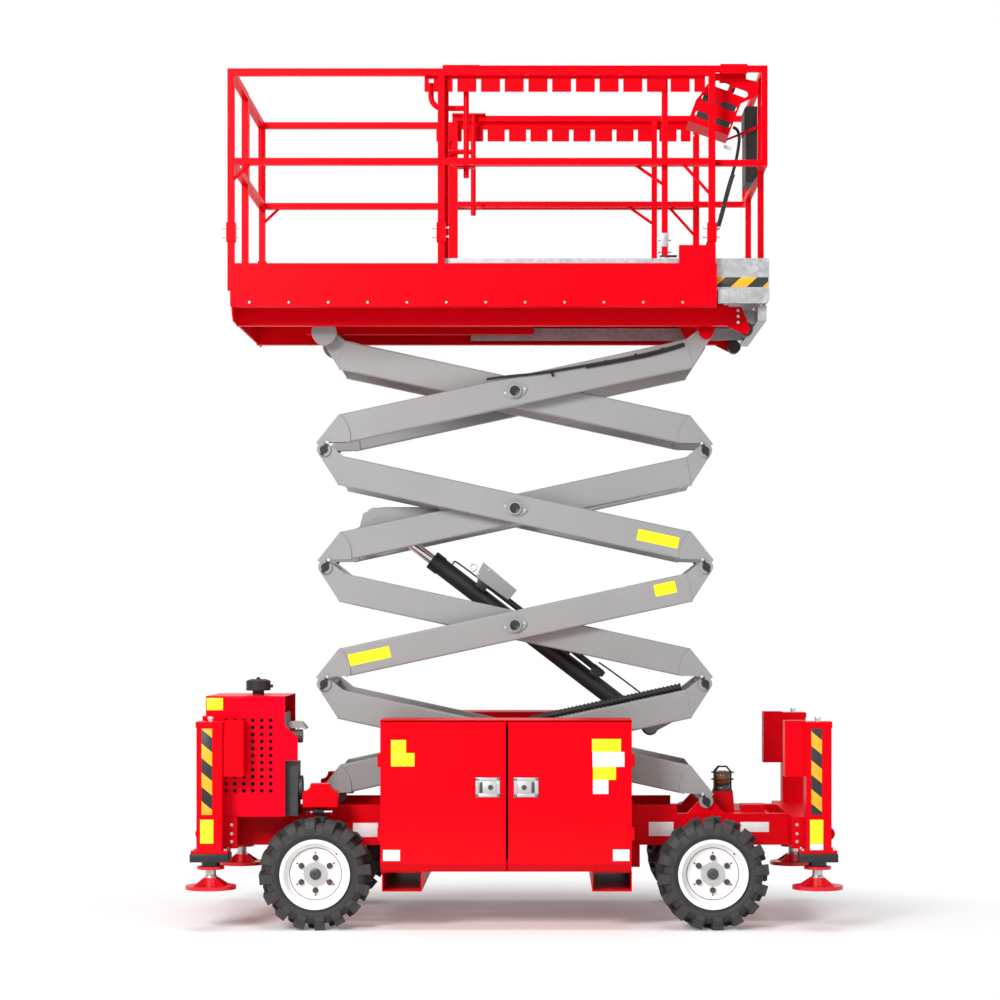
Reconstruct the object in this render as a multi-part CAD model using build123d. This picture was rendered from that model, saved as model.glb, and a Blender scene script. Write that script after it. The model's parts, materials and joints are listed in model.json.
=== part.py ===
"""Rough-terrain scissor lift with four outriggers, shown with its stack partly raised.

Millimetres. +X points to the end with the fixed scissor hinge and the deck extension, -Y is the
near side and +Z is up. The origin is on the ground, midway between the axles and the two sides.
"""
from build123d import *
import math
import os

NEAR, FAR = -1, 1
LEFT, RIGHT = -1, 1

# ---------------------------------------------------------------- driving dimensions
PIN_GAP = 0.3               # radial clearance of a pin in its bore
OPEN_PIN_GAP = 1.5          # radial clearance where the linkage is opened
SIDE_GAP = 3.0              # between a tongue and the fork around it
SEAT = 0.3                  # between two pieces that rest on each other
SHEET = 3.0                 # folded sheet

# wheels
WHEEL_R = 280.0
TYRE_W = 210.0
WHEEL_Y = 595.0             # tyre centre plane
HALF_BASE = 997.5
CARCASS_R = 252.0           # under the lugs
BEAD_R = 168.0
LUGS = 16                   # per side
LUG_W = 52.0
RIM_FLANGE_R = 176.0
RIM_DISC_R = 130.0
HUB_R = 61.0
HUB_IN = 26.0               # inner face of the hub, out from the tyre centre plane
KINGPIN_Y = 575.0
KINGPIN_R = 16.0
KNUCKLE_H = 58.0            # half height of the upright
STEER_ARM_L = 110.0
FORK_T = 24.0               # axle fork plates above and below the upright
AXLE_Y = 480.0              # where the axle beam ends in its fork

# scissor stack
LEVELS = 4
ARM_L = 2056.0              # pin to pin
REST_DEG = 17.04            # pin line above the horizontal at rest
TUBE_DEG = 4.8              # tube centreline below the pin line
TUBE_H = 150.0
TUBE_W = 50.0
TUBE_FILLET = 10.0
CHEEK_T = 8.0               # fork plates outside the tube at a lower tip
TONGUE_W = TUBE_W - 2 * SIDE_GAP
INNER_Y = 245.0             # tube centre planes
OUTER_Y = 320.0
BASE_PIN_Z = 624.0
BOSS_R = 36.0
SHAFT_R = 20.0              # end pins, in their bores
CROSS_R = 28.0              # tube round an end shaft between the two sides
CENTRE_R = 31.0             # centre pins
CENTRE_COLLAR_R = 34.0
CENTRE_BORE_R, CENTRE_BORE_L = 27.0, 60.0
LEMON_L, LEMON_H = 131.0, 77.0   # pointed plate round a centre pin
UPPER_ROOT = 105.0          # from the end pin back to the tube's end
UPPER_CORNER = 110.0
LOWER_ROOT = 118.0
# outline of a fork plate, outwards and upwards from its pin
CHEEK_BACK_LOW = (-141.0, 11.0)
CHEEK_BACK_MID = (-147.0, 90.0)
CHEEK_TOP = (-114.0, 161.0)
CHEEK_CORNER = (32.0, 42.0)
CHEEK_NOTCH = (21.0, 27.0)
CLOSING_TOP, CLOSING_LOW = (-126.0, 161.0), (27.0, 36.0)
ROLLER_Y = OUTER_Y          # end rollers run beside the outer arms
ROLLER_W = 50.0
REST = math.radians(REST_DEG)
RISE = ARM_L * math.sin(REST)
HINGE_X = ARM_L * math.cos(REST) / 2
TOP_PIN_Z = BASE_PIN_Z + LEVELS * RISE
PIN_X = ARM_L / 2 * math.cos(math.radians(TUBE_DEG))
PIN_Z = ARM_L / 2 * math.sin(math.radians(TUBE_DEG))
LEAN_DEG = REST_DEG - TUBE_DEG

# lift cylinder
FOOT_AT = (PIN_X - 320.4, -TUBE_H / 2 - 9)       # lower pin in the frame of the first inner arm's tube
FOOT_BEAM = (FOOT_AT[0] + 146, FOOT_AT[1] + 42)  # cross tube that carries its lugs
EYE_AT = (-PIN_X + 302.4, TUBE_H / 2 + 46)       # upper pin in the frame of the third inner arm's tube
EYE_BEAM = (EYE_AT[0] - 153, EYE_AT[1] - 81)
EYE_STUB = (EYE_AT[0] + 330, EYE_AT[1] - 85)
# outline of an upper lug plate, right and up from its pin
EYE_PLATE = [(-178.0, -112.0), (-178.0, -62.0), (-88.0, -38.0), (-54.0, 27.0), (19.0, 40.0),
             (62.0, 35.0), (320.0, -21.0), (360.0, -60.0), (360.0, -112.0)]
EYE_PLATE_Y, EYE_PLATE_T = 200.0, 13.0
BARREL_R = 46.0
ROD_R = 27.0
MOUTH_TO_EYE = 364.0        # rod in sight
ROD_SHARE = 0.783           # rod's length over the distance between the pins
GLAND_L = 60.0
FOOT_W, EYE_W = 96.0, 50.0
EYE_R = 44.0
EYE_PIN_R = 20.0
LUG_T = 14.0
LUG_R = 34.0
LUG_GAP = 4.0
BEAM_R = 25.0

# chassis
RAIL_IN, RAIL_OUT = 290.0, 360.0
RAIL_Z0, RAIL_Z1 = 400.0, 560.0
RAIL_END = 1461.0
ROLLER_R = BASE_PIN_Z - RAIL_Z1 - SEAT
GUARD_T = 8.0               # strip beside the roller track
GUARD_Z = 605.0
TRACK_OVERRUN = 90.0
PAN_Z, PAN_X = 290.0, 640.0
CROSS_X = (-1200.0, -600.0, 0.0, 600.0)
BEACON_BED = (HINGE_X + 47, HINGE_X + 327)
END_BEAM_X = 1568.5
FORK_W, FORK_H, FORK_WALL = 200.0, 100.0, 5.0
FORK_X = (-565.0, 492.0)
FORK_HALF_Y = 640.0
FORK_Z0 = 190.0
TIE_X, TIE_Y, TIE_Z = 1615.0, 300.0, 452.0
TIE_R, TIE_EDGE_R, TIE_T = 18.0, 35.0, 15.0

# side cabinets
CAB_X0, CAB_X1 = -670.0, 590.0
CAB_Y0, CAB_Y1 = 400.0, 700.0
CAB_Z0, CAB_Z1 = 290.0, 1055.0
CAB_BEND_Z = 335.0          # the lower edge leans in below this
CAB_BEND_IN = 40.0
CAB_SPLIT_X = -35.0
CAB_WALL = 5.0
DOOR_T = 22.0
DOOR_GAP = 6.0
DOOR_HINGE_OUT, DOOR_HINGE_IN = 6.0, 8.0   # hinge line beyond the cabinet's end, behind its face
KNUCKLE_R, KNUCKLE_L = 8.0, 65.0
KNUCKLE_Z = (485.0, 852.0)
LATCH_Z0, LATCH_Z1 = 670.0, 766.0

# engine
HOOD_X = (-1560.0, -1160.0)
HOOD_Y = (-560.0, -40.0)
HOOD_TOP = 1170.0
GRILLE_X0, GRILLE_PITCH_X, GRILLE_COLS = HOOD_X[0] + 101, 45.3, 6
GRILLE_Z0, GRILLE_PITCH_Z, GRILLE_ROWS = 691.0, 35.7, 11
GRILLE_HOLE_R = 11.0
GRILLE_EDGE = 28.0          # from the outer holes' centres to the plate's edge
CLEANER_AT = (-1325.0, -300.0)

# steering covers
COVER_X = (-1073.0, -897.0)
COVER_Y = (455.0, 545.0)
COVER_Z = (607.0, 725.5)
COVE_R = 40.0

# outriggers
LEG_X, LEG_Y = 1525.0, 635.0
LEG_W = 127.0
LEG_Z0, LEG_Z1 = 385.0, 1045.0
FLANGE_HALF_X, FLANGE_HALF_Y, FLANGE_T = 92.5, 65.0, 15.0
HOUSING_W, HOUSING_Z0 = 105.0, 770.0
JACK_R = 50.0
JACK_TRAVEL = 400.0
FOOT_R = 127.0
FOOT_Z0, FOOT_Z1 = 204.0, 222.0

# platform
DECK_X0, DECK_X1 = -1420.0, 1015.0
DECK_HALF_Y = 700.0
FLOOR_Z = TOP_PIN_Z + 171.0
PANEL_Z0, PANEL_Z1 = FLOOR_Z - 57, FLOOR_Z + 135
PANEL_T = 8.0
FLANGE_Z0, FLANGE_Y0 = FLOOR_Z - 80, DECK_HALF_Y - 80
END_PLATE_Y, END_PLATE_Z = DECK_HALF_Y - 48, FLOOR_Z - 144
BEAM_Z0, BEAM_Z1 = FLOOR_Z - 150, FLOOR_Z - 45
BEAM_Y0, BEAM_Y1 = 420.0, 460.0
BEAM_END = 1092.0
JOIST_X = (-1380.0, -900.0, -300.0, 300.0, 980.0)
JOIST_Z0 = FLOOR_Z - 55
TRACK_END = 90.0
# outline of the roller bracket at a beam's end: out from the beam, up from the floor
BRACKET = [(-12.0, -53.0), (64.0, -53.0), (108.0, -163.0), (98.0, -193.0), (58.0, -185.0), (-12.0, -150.0)]
DECK_ROLLER_AT, DECK_ROLLER_R = (BEAM_END + 89.5, FLOOR_Z - 165), 35.0
POCKET_X, POCKET_Z = (DECK_X1 - 189, DECK_X1 - 6), (FLOOR_Z + 119, FLOOR_Z + 226)
RAIL_W = 34.0               # square guardrail tube
RAIL_Y = DECK_HALF_Y - 26
RAIL_TOP, RAIL_MID = FLOOR_Z + 1094, FLOOR_Z + 646
POST_X = (DECK_X0 + 2.5, -365.0, DECK_X1 - 24)
SLEEVE_W, SLEEVE_Z0, SLEEVE_Z1 = 46.0, FLOOR_Z + 245, FLOOR_Z + 340
BRACE_R = 8.0
GATE_Y = -100.0             # fixed mid post
GATE_GAP = 6.0
GATE_TOP = RAIL_TOP - 6
GATE_HINGE_Y = RAIL_Y - RAIL_W - 12
COMB_X0, COMB_X1 = -450.0, DECK_X1 - 56
COMB_Z0, COMB_Z1 = RAIL_TOP - 92, RAIL_TOP - 13
COMB_Y, COMB_T = RAIL_Y - RAIL_W / 2 - 11, 6.0
COMB_SLOT_W, COMB_PITCH, COMB_SLOTS = 23.0, 119.0, 12
COMB_FIRST, COMB_SLOT_TOP = COMB_X0 + 34, COMB_Z1 - 14

# deck extension
EXT_X0, EXT_X1 = -380.0, 1280.0
EXT_HALF_Y = DECK_HALF_Y - 50
EXT_FLOOR_Z = FLOOR_Z + 11
EXT_T = 5.0
TOE_Z, TOE_T, TOE_LIP = FLOOR_Z + 166, 6.0, 28.0
LIP_NOTCH = 22.0            # half width of the gap in the lip round a post
RUNNER_Y, RUNNER_W = EXT_HALF_Y - 70, 40.0
CHANNEL_Z, CHANNEL_OUT = (FLOOR_Z - 62, FLOOR_Z + 9), 20.0
BAR_X0, BAR_Y, BAR_Z1 = -250.0, (375.0, 410.0), FLOOR_Z - 66
BAR_Z0 = DECK_ROLLER_AT[1] + DECK_ROLLER_R + SEAT
END_BAR_X, END_BAR_Z0 = (EXT_X1 - 52, EXT_X1 - 8), FLOOR_Z - 140
EXT_W = 30.0                # square tube of the sliding guardrail
EXT_RAIL_Y = EXT_HALF_Y - 25
EXT_TOP, EXT_MID = RAIL_TOP + 28, RAIL_MID + 2
EXT_POST_X = (-345.0, 757.0)
EXT_END_X = EXT_X1 - 21.5
EXT_END_POST_Y = EXT_HALF_Y - 250
HANDLE_Y, HANDLE_R = EXT_RAIL_Y - 40, 14.0
HANDLE_PATH = [(-420.0, EXT_TOP - 64), (-420.0, EXT_TOP - 190), (-243.0, EXT_TOP - 190)]   # x, z
HANDLE_BEND = 60.0
HANDLE_LOW = EXT_MID - 67

# upper controls
GUARD_Y, GUARD_PLATE = 65 - EXT_RAIL_Y, 4.0
# outline of the slotted guard: back from the extension's end, down from the top rail
GUARD = [(-266.0, -6.0), (-234.0, -9.0), (-50.0, -50.0), (-48.0, -119.0), (-135.0, -160.0),
         (-195.0, -316.0), (-399.0, -243.0), (-362.0, -142.0), (-341.0, -118.0)]
GUARD_SLOT = (85.0, 33.0)
GUARD_SLOTS = [(-326.5, -222.5), (-292.0, -140.5), (-229.0, -69.5), (-228.0, -258.5), (-197.0, -176.0),
               (-140.0, -105.0)]
GUARD_TILT = -20.0
HOOK_X = (EXT_X1 - 243, EXT_X1 - 108)
CONTROL_AT, CONTROL_SIZE = (EXT_X1 - 260, EXT_TOP - 200), (176.0, 130.0, 150.0)
CASE_X, CASE_Y = (EXT_END_X - 74.5, EXT_END_X - 15.3), (-380.0, -150.0)
CASE_Z = (EXT_TOP - 527, EXT_TOP - 137)
CABLE_R = 8.0
# corners of the cable from the control box down to the toe board
CABLE = [(EXT_X1 - 170, GUARD_Y + 70, EXT_TOP - 267), (EXT_X1 - 130, GUARD_Y + 70, EXT_TOP - 275),
         (EXT_X1 - 150, GUARD_Y + 60, EXT_TOP - 427), (EXT_X1 - 180, GUARD_Y + 40, EXT_TOP - 527),
         (EXT_X1 - 250, GUARD_Y - 30, TOE_Z + 166), (EXT_X1 - 312, GUARD_Y - 66, TOE_Z + 84),
         (EXT_X1 - 325, GUARD_Y - 70, TOE_Z + 1.7)]

BEACON_AT = (HINGE_X + 98, -140.0)
BEACON_Z = 667.0            # top of the lamp's post
VALVE_X, VALVE_TOP = (BEACON_AT[0] + 94, BEACON_AT[0] + 219), 595.0
LADDER_X, LADDER_Y = -1655.0, (80.0, 440.0)


# ---------------------------------------------------------------- helpers
def slab(x, y, z):
    """A box from (low, high) pairs."""
    size = [high - low for low, high in (x, y, z)]
    centre = [(high + low) / 2 for low, high in (x, y, z)]
    return Pos(*centre) * Box(*size)


def band(side, y0, y1):
    """The (low, high) pair of a y range given for the far side."""
    return tuple(sorted((side * y0, side * y1)))


def rod(start, end, radius):
    """A round bar between two points."""
    axis = Vector(*end) - Vector(*start)
    return Plane(origin=start, z_dir=axis) * Cylinder(
        radius, axis.length, align=(Align.CENTER, Align.CENTER, Align.MIN))


def y_rod(x, z, y0, y1, radius):
    """A round bar along Y."""
    return rod((x, y0, z), (x, y1, z), radius)


def side_plate(sketch, y, width):
    """A sketch of x and z made a plate centred on y."""
    return Pos(0, y, 0) * extrude(Plane.XZ * sketch, width / 2, both=True)


def square_bar(start, end, width):
    """A square bar along one axis, its ends half a width past both points."""
    half = width / 2
    return slab(*[(min(a, b) - half, max(a, b) + half) for a, b in zip(start, end)])


def fuse(pieces):
    """All pieces joined into one shape."""
    pieces = list(pieces)
    return pieces[0].fuse(*pieces[1:]) if len(pieces) > 1 else pieces[0]


def tangent(point, centre, radius, side):
    """Where the line from a point touches a circle; side is +1 or -1."""
    reach = math.dist(point, centre)
    heading = math.atan2(point[1] - centre[1], point[0] - centre[0])
    spread = side * math.acos(radius / reach)
    return (centre[0] + radius * math.cos(heading + spread),
            centre[1] + radius * math.sin(heading + spread))


def export(name, shape):
    """Write one sub-part."""
    export_step(shape, os.path.join("parts", name + ".step"))


# ---------------------------------------------------------------- scissor arms
def centre_z(level):
    """Height of the centre pin of a level, counted from 1."""
    return BASE_PIN_Z + (level - 0.5) * RISE


def in_arm(point, level, lean):
    """The row's (x, z) of a point given in an arm's tube frame; lean +1 rises to the right."""
    turn = math.radians(LEAN_DEG)
    along, up = point
    x = along * math.cos(turn) - up * math.sin(turn)
    z = along * math.sin(turn) + up * math.cos(turn)
    return lean * x, centre_z(level) + z


def tongue_sketch():
    """Side view of an upper tip: from inside the tube to the boss round the pin."""
    pin = (PIN_X, PIN_Z)
    inner = (PIN_X - UPPER_ROOT, TUBE_H / 2)
    outer = (PIN_X - UPPER_CORNER, -TUBE_H / 2)
    back_x = PIN_X - UPPER_ROOT - TUBE_H / 2
    outline = [(back_x, TUBE_H / 2), (back_x, -TUBE_H / 2), outer, tangent(outer, pin, BOSS_R, 1), pin,
               tangent(inner, pin, BOSS_R, -1), inner]
    return Polygon(*outline, align=None) + Pos(*pin) * Circle(BOSS_R)


def lower(point):
    """A point given outwards and upwards from the lower pin, in the arm's tube frame."""
    return (-PIN_X - point[0], -PIN_Z + point[1])


def cheek_sketch():
    """Side view of a fork plate at a lower tip."""
    pin = lower((0, 0))
    start = lower(CHEEK_BACK_LOW)
    corners = [start, tangent(start, pin, BOSS_R, 1), pin, lower(CHEEK_NOTCH), lower(CHEEK_CORNER),
               lower(CHEEK_TOP)]
    outline = Polyline(*corners) + ThreePointArc(corners[-1], lower(CHEEK_BACK_MID), start)
    return make_face(outline) + Pos(*pin) * Circle(BOSS_R)


def arm_side(y):
    """One tube with its tongue at the upper tip (+X) and its closed fork at the lower tip."""
    tube = slab((-PIN_X + LOWER_ROOT, PIN_X - UPPER_ROOT), (y - TUBE_W / 2, y + TUBE_W / 2),
                (-TUBE_H / 2, TUBE_H / 2))
    tube = fillet(tube.edges().filter_by(Axis.X), TUBE_FILLET)
    tongue = side_plate(tongue_sketch(), y, TONGUE_W)
    cheek_y = (TUBE_W + CHEEK_T) / 2
    cheeks = [side_plate(cheek_sketch(), y + s * cheek_y, CHEEK_T) for s in (-1, 1)]
    closing = Polygon(*[lower(p) for p in (CLOSING_TOP, CHEEK_TOP, CHEEK_CORNER, CLOSING_LOW)], align=None)
    return fuse([tube, tongue, side_plate(closing, y, TUBE_W)] + cheeks)


def lemon_sketch():
    """Pointed plate round a centre pin."""
    radius = (LEMON_L ** 2 / 4 + LEMON_H ** 2 / 4) / LEMON_H
    offset = radius - LEMON_H / 2
    return (Pos(0, offset) * Circle(radius)) & (Pos(0, -offset) * Circle(radius))


def centre_pins():
    """Bored stub pins of an outer arm, each on its pointed plate."""
    face = OUTER_Y + TUBE_W / 2
    stub_in = INNER_Y - TUBE_W / 2 - 4
    mouth = face + CHEEK_T + 12
    pins, bores = [], []
    for side in (NEAR, FAR):
        pins.append(y_rod(0, 0, *band(side, stub_in, face), CENTRE_R))
        pins.append(side_plate(lemon_sketch(), side * (face + CHEEK_T / 2), CHEEK_T))
        pins.append(y_rod(0, 0, *band(side, face, mouth), CENTRE_COLLAR_R))
        bores.append(y_rod(0, 0, *band(side, mouth - CENTRE_BORE_L, mouth + 1), CENTRE_BORE_R))
    return pins, bores


def arm(level, lean, plane_y, upper_shaft=False, upper_gap=PIN_GAP):
    """An H-shaped arm: two tubes joined by the shaft through its lower forks."""
    outer = plane_y == OUTER_Y
    half = plane_y + TUBE_W / 2
    shaft_end = half + CHEEK_T + 6
    roller_end = ROLLER_Y + ROLLER_W / 2
    inner_face = plane_y - TUBE_W / 2
    low = (-PIN_X, -PIN_Z)
    has_rollers = level == 1 and lean == 1
    pieces = [arm_side(side * plane_y) for side in (NEAR, FAR)]
    cuts = []
    if not upper_shaft:
        cuts.append(y_rod(PIN_X, PIN_Z, -half, half, SHAFT_R + upper_gap))
    if not outer:
        cuts.append(y_rod(0, 0, -half, half, CENTRE_R + PIN_GAP))
    body = fuse(pieces)
    if cuts:
        body = body - fuse(cuts)
    reach = roller_end if has_rollers else shaft_end
    extra = [y_rod(*low, -reach, reach, SHAFT_R),
             y_rod(*low, -inner_face + CHEEK_T, inner_face - CHEEK_T, CROSS_R)]
    if upper_shaft:
        extra.append(y_rod(PIN_X, PIN_Z, -roller_end, roller_end, SHAFT_R))
        extra.append(y_rod(PIN_X, PIN_Z, -inner_face, inner_face, CROSS_R))
    for point, rolls in ((low, has_rollers), ((PIN_X, PIN_Z), upper_shaft)):
        if rolls:
            extra += [y_rod(*point, *band(side, ROLLER_Y - ROLLER_W / 2, roller_end), ROLLER_R)
                      for side in (NEAR, FAR)]
    if level == 1 and lean == 1:
        extra += foot_lugs()
    if level == 3 and lean == 1:
        extra += eye_lugs()
    bores = []
    if outer:
        pins, bores = centre_pins()
        extra += pins
    body = fuse([body] + extra)
    if bores:
        body = body - fuse(bores)
    if lean < 0:
        body = body.mirror(Plane.YZ)
    return Pos(0, 0, centre_z(level)) * Rot(0, -lean * LEAN_DEG, 0) * body


def foot_lugs():
    """Two round-ended lug plates on a cross tube, with the heads of the cylinder's lower pin."""
    face = FOOT_W / 2 + LUG_GAP
    heading = math.atan2(FOOT_AT[1] - FOOT_BEAM[1], FOOT_AT[0] - FOOT_BEAM[0])
    across = (-math.sin(heading) * LUG_R, math.cos(heading) * LUG_R)
    web = Polygon((FOOT_AT[0] + across[0], FOOT_AT[1] + across[1]),
                  (FOOT_BEAM[0] + across[0], FOOT_BEAM[1] + across[1]),
                  (FOOT_BEAM[0] - across[0], FOOT_BEAM[1] - across[1]),
                  (FOOT_AT[0] - across[0], FOOT_AT[1] - across[1]), align=None)
    sketch = web + Pos(*FOOT_AT) * Circle(LUG_R) + Pos(*FOOT_BEAM) * Circle(LUG_R)
    half = INNER_Y - TUBE_W / 2
    pieces = [y_rod(*FOOT_BEAM, -half, half, BEAM_R)]
    for side in (NEAR, FAR):
        pieces.append(side_plate(sketch, side * (face + LUG_T / 2), LUG_T))
        pieces.append(y_rod(*FOOT_AT, *band(side, face + LUG_T / 2, face + LUG_T + 10), EYE_PIN_R))
    return pieces


def eye_lugs():
    """Two long lug plates beside the tubes, with the heads of the cylinder's upper pin."""
    outline = [(EYE_AT[0] + x, EYE_AT[1] + z) for x, z in EYE_PLATE]
    sketch = Polygon(*outline, align=None) + Pos(*EYE_AT) * Circle(EYE_R)
    tube_in = INNER_Y - TUBE_W / 2
    pieces = [y_rod(*EYE_BEAM, -tube_in, tube_in, BEAM_R)]
    for side in (NEAR, FAR):
        pieces.append(y_rod(*EYE_AT, *band(side, EYE_PLATE_Y + 1, EYE_PLATE_Y + EYE_PLATE_T + 2), EYE_PIN_R))
        pieces.append(side_plate(sketch, side * (EYE_PLATE_Y + EYE_PLATE_T / 2), EYE_PLATE_T))
        pieces.append(y_rod(*EYE_STUB, *band(side, EYE_PLATE_Y + 1, tube_in + 1), BEAM_R))
    return pieces


# name, level, lean, plane, shaft at the upper end, clearance at the upper bore
ARMS = [
    ("arm_1_outer", 1, -1, OUTER_Y, False, PIN_GAP),
    ("arm_1_inner", 1, 1, INNER_Y, False, OPEN_PIN_GAP),
    ("arm_2_outer", 2, 1, OUTER_Y, False, PIN_GAP),
    ("arm_2_inner", 2, -1, INNER_Y, False, OPEN_PIN_GAP),
    ("arm_3_outer", 3, -1, OUTER_Y, False, PIN_GAP),
    ("arm_3_inner", 3, 1, INNER_Y, False, OPEN_PIN_GAP),
    ("arm_4_outer", 4, 1, OUTER_Y, False, PIN_GAP),
    ("arm_4_inner", 4, -1, INNER_Y, True, PIN_GAP),
]


# ---------------------------------------------------------------- lift cylinder
def cylinder_line():
    """Row points of the lower pin and the upper eye."""
    foot_x, foot_z = in_arm(FOOT_AT, 1, 1)
    eye_x, eye_z = in_arm(EYE_AT, 3, 1)
    return Vector(foot_x, 0, foot_z), Vector(eye_x, 0, eye_z)


def cylinder_barrel():
    """Barrel with its foot eye and pin."""
    foot, eye = cylinder_line()
    way = (eye - foot).normalized()
    mouth = eye - way * MOUTH_TO_EYE
    head = mouth - way * GLAND_L
    pin_half = FOOT_W / 2 + LUG_GAP - SEAT
    eye_ring = y_rod(foot.X, foot.Z, -FOOT_W / 2, FOOT_W / 2, EYE_R)
    pin = y_rod(foot.X, foot.Z, -pin_half, pin_half, EYE_PIN_R)
    tube = rod(foot + way * 40, mouth, BARREL_R)
    gland = rod(head, mouth, BARREL_R + 5)
    hollow = rod(foot + way * 80, head + way, BARREL_R - 10)
    bore = rod(head, mouth + way, ROD_R + PIN_GAP)
    return fuse([eye_ring, tube, gland]) - hollow - bore + pin


def cylinder_rod():
    """Rod with its bored eye and, inside the barrel, its piston."""
    foot, eye = cylinder_line()
    way = (eye - foot).normalized()
    tail = eye - (eye - foot) * ROD_SHARE
    piston = rod(tail, tail + way * 30, BARREL_R - 10 - PIN_GAP)
    shank = rod(tail, eye - way * (EYE_R - 14), ROD_R)
    eye_ring = y_rod(eye.X, eye.Z, -EYE_W / 2, EYE_W / 2, EYE_R)
    bore = y_rod(eye.X, eye.Z, -EYE_W / 2 - 1, EYE_W / 2 + 1, EYE_PIN_R + PIN_GAP)
    return fuse([shank, piston, eye_ring]) - bore


def rod_eye_pin():
    """Pin in the rod's eye, which ends short of the lug plates because the linkage is opened here."""
    eye = cylinder_line()[1]
    reach = EYE_PLATE_Y - SIDE_GAP
    return y_rod(eye.X, eye.Z, -reach, reach, EYE_PIN_R)


# ---------------------------------------------------------------- wheels
def wheel_rim(side):
    """Dished rim with its centre disc and hub; the outer face looks to side."""
    profile = [(0, HUB_IN), (HUB_R, HUB_IN), (HUB_R, 40), (RIM_DISC_R, 40), (RIM_DISC_R, -100),
               (RIM_FLANGE_R, -100), (RIM_FLANGE_R, -88), (BEAD_R - 1, -88), (BEAD_R - 1, 88),
               (RIM_FLANGE_R, 88), (RIM_FLANGE_R, 100), (BEAD_R - 10, 100), (BEAD_R - 22, 62),
               (RIM_DISC_R + 6, 50), (HUB_R, 50), (HUB_R, 58), (0, 58)]
    body = revolve(Plane.XZ * Polygon(*profile, align=None), Axis.Z)
    return Pos(0, side * WHEEL_Y, WHEEL_R) * Rot(-side * 90, 0, 0) * body


def lug(side, turn):
    """One tread lug: a slanted bar from the shoulder to the middle of the tread."""
    foot = CARCASS_R - 14
    bar = Polygon((4, LUG_W / 2 + 14), (TYRE_W / 2 - 12, LUG_W / 2), (TYRE_W / 2 - 12, -LUG_W / 2),
                  (4, -LUG_W / 2 + 14), align=None)
    sketch = Plane(origin=(foot, 0, 0), x_dir=(0, 0, side), z_dir=(1, 0, 0)) * bar
    block = extrude(sketch, WHEEL_R - foot, dir=(1, 0, 0))
    shoulder = Polygon((foot - 50, TYRE_W / 2 - 30), (foot, TYRE_W / 2 - 40),
                       (WHEEL_R - 12, TYRE_W / 2 - 14), (CARCASS_R - 20, TYRE_W / 2 + 1),
                       (CARCASS_R - 40, TYRE_W / 2 - 1), align=None)
    wing = extrude(Plane.XZ * shoulder, LUG_W / 2 - 3, both=True)
    if side < 0:
        wing = wing.mirror(Plane.XY)
    return Rot(0, 0, turn) * fuse([block, wing])


def tyre(side):
    """Carcass with slanted lugs, staggered between the two shoulders."""
    half = TYRE_W / 2
    profile = [(BEAD_R, -86), (BEAD_R + 14, -86), (BEAD_R + 34, -half + 4), (CARCASS_R - 34, -half + 6),
               (CARCASS_R - 8, -half + 26), (CARCASS_R, -half + 50), (CARCASS_R, half - 50),
               (CARCASS_R - 8, half - 26), (CARCASS_R - 34, half - 6), (BEAD_R + 34, half - 4),
               (BEAD_R + 14, 86), (BEAD_R, 86)]
    carcass = revolve(Plane.XZ * Polygon(*profile, align=None), Axis.Z)
    pitch = 360 / LUGS
    lugs = [lug(face, pitch * (i + (0.25 if face > 0 else 0.75)))
            for face in (1, -1) for i in range(LUGS)]
    body = fuse([carcass] + lugs)
    return Pos(0, side * WHEEL_Y, WHEEL_R) * Rot(-side * 90, 0, 0) * body


def steer_knuckle(side):
    """Upright with its kingpin, spindle and steering arm."""
    x = -HALF_BASE
    spindle = y_rod(x, WHEEL_R, *band(side, KINGPIN_Y, WHEEL_Y + HUB_IN - SEAT), 30.0)
    upright = slab((x - 30, x + 30), band(side, KINGPIN_Y - 20, KINGPIN_Y + 20),
                   (WHEEL_R - KNUCKLE_H, WHEEL_R + KNUCKLE_H))
    reach = KNUCKLE_H + 2 + FORK_T + 4
    pin = rod((x, side * KINGPIN_Y, WHEEL_R - reach), (x, side * KINGPIN_Y, WHEEL_R + reach),
              KINGPIN_R)
    lever = slab((x - STEER_ARM_L, x - 25), band(side, KINGPIN_Y - 38, KINGPIN_Y - 12),
                 (WHEEL_R - 30, WHEEL_R - 10))
    return fuse([spindle, upright, pin, lever])


# ---------------------------------------------------------------- chassis
def axle_fork(side):
    """Two bored plates above and below the steering upright, on the end of the axle."""
    x = -HALF_BASE
    reach = KNUCKLE_H + 2 + FORK_T
    pieces = [slab((x - 35, x + 35), band(side, AXLE_Y - 10, AXLE_Y + 20),
                   (WHEEL_R - reach, WHEEL_R + reach))]
    for z in (WHEEL_R - reach, WHEEL_R + reach - FORK_T):
        plate = slab((x - 30, x + 30), band(side, AXLE_Y, KINGPIN_Y + 28), (z, z + FORK_T))
        pieces.append(plate - rod((x, side * KINGPIN_Y, z - 1), (x, side * KINGPIN_Y, z + FORK_T + 1),
                                  KINGPIN_R + PIN_GAP))
    return pieces


def hinge_lug(side):
    """Plate that carries the fixed end pin of the stack."""
    web = Polygon((HINGE_X - 105, RAIL_Z1 - 10), (HINGE_X + 105, RAIL_Z1 - 10),
                  (HINGE_X + BOSS_R, BASE_PIN_Z), (HINGE_X - BOSS_R, BASE_PIN_Z), align=None)
    sketch = web + Pos(HINGE_X, BASE_PIN_Z) * Circle(BOSS_R)
    sketch -= Pos(HINGE_X, BASE_PIN_Z) * Circle(SHAFT_R + PIN_GAP)
    return side_plate(sketch, side * OUTER_Y, TONGUE_W)


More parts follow.
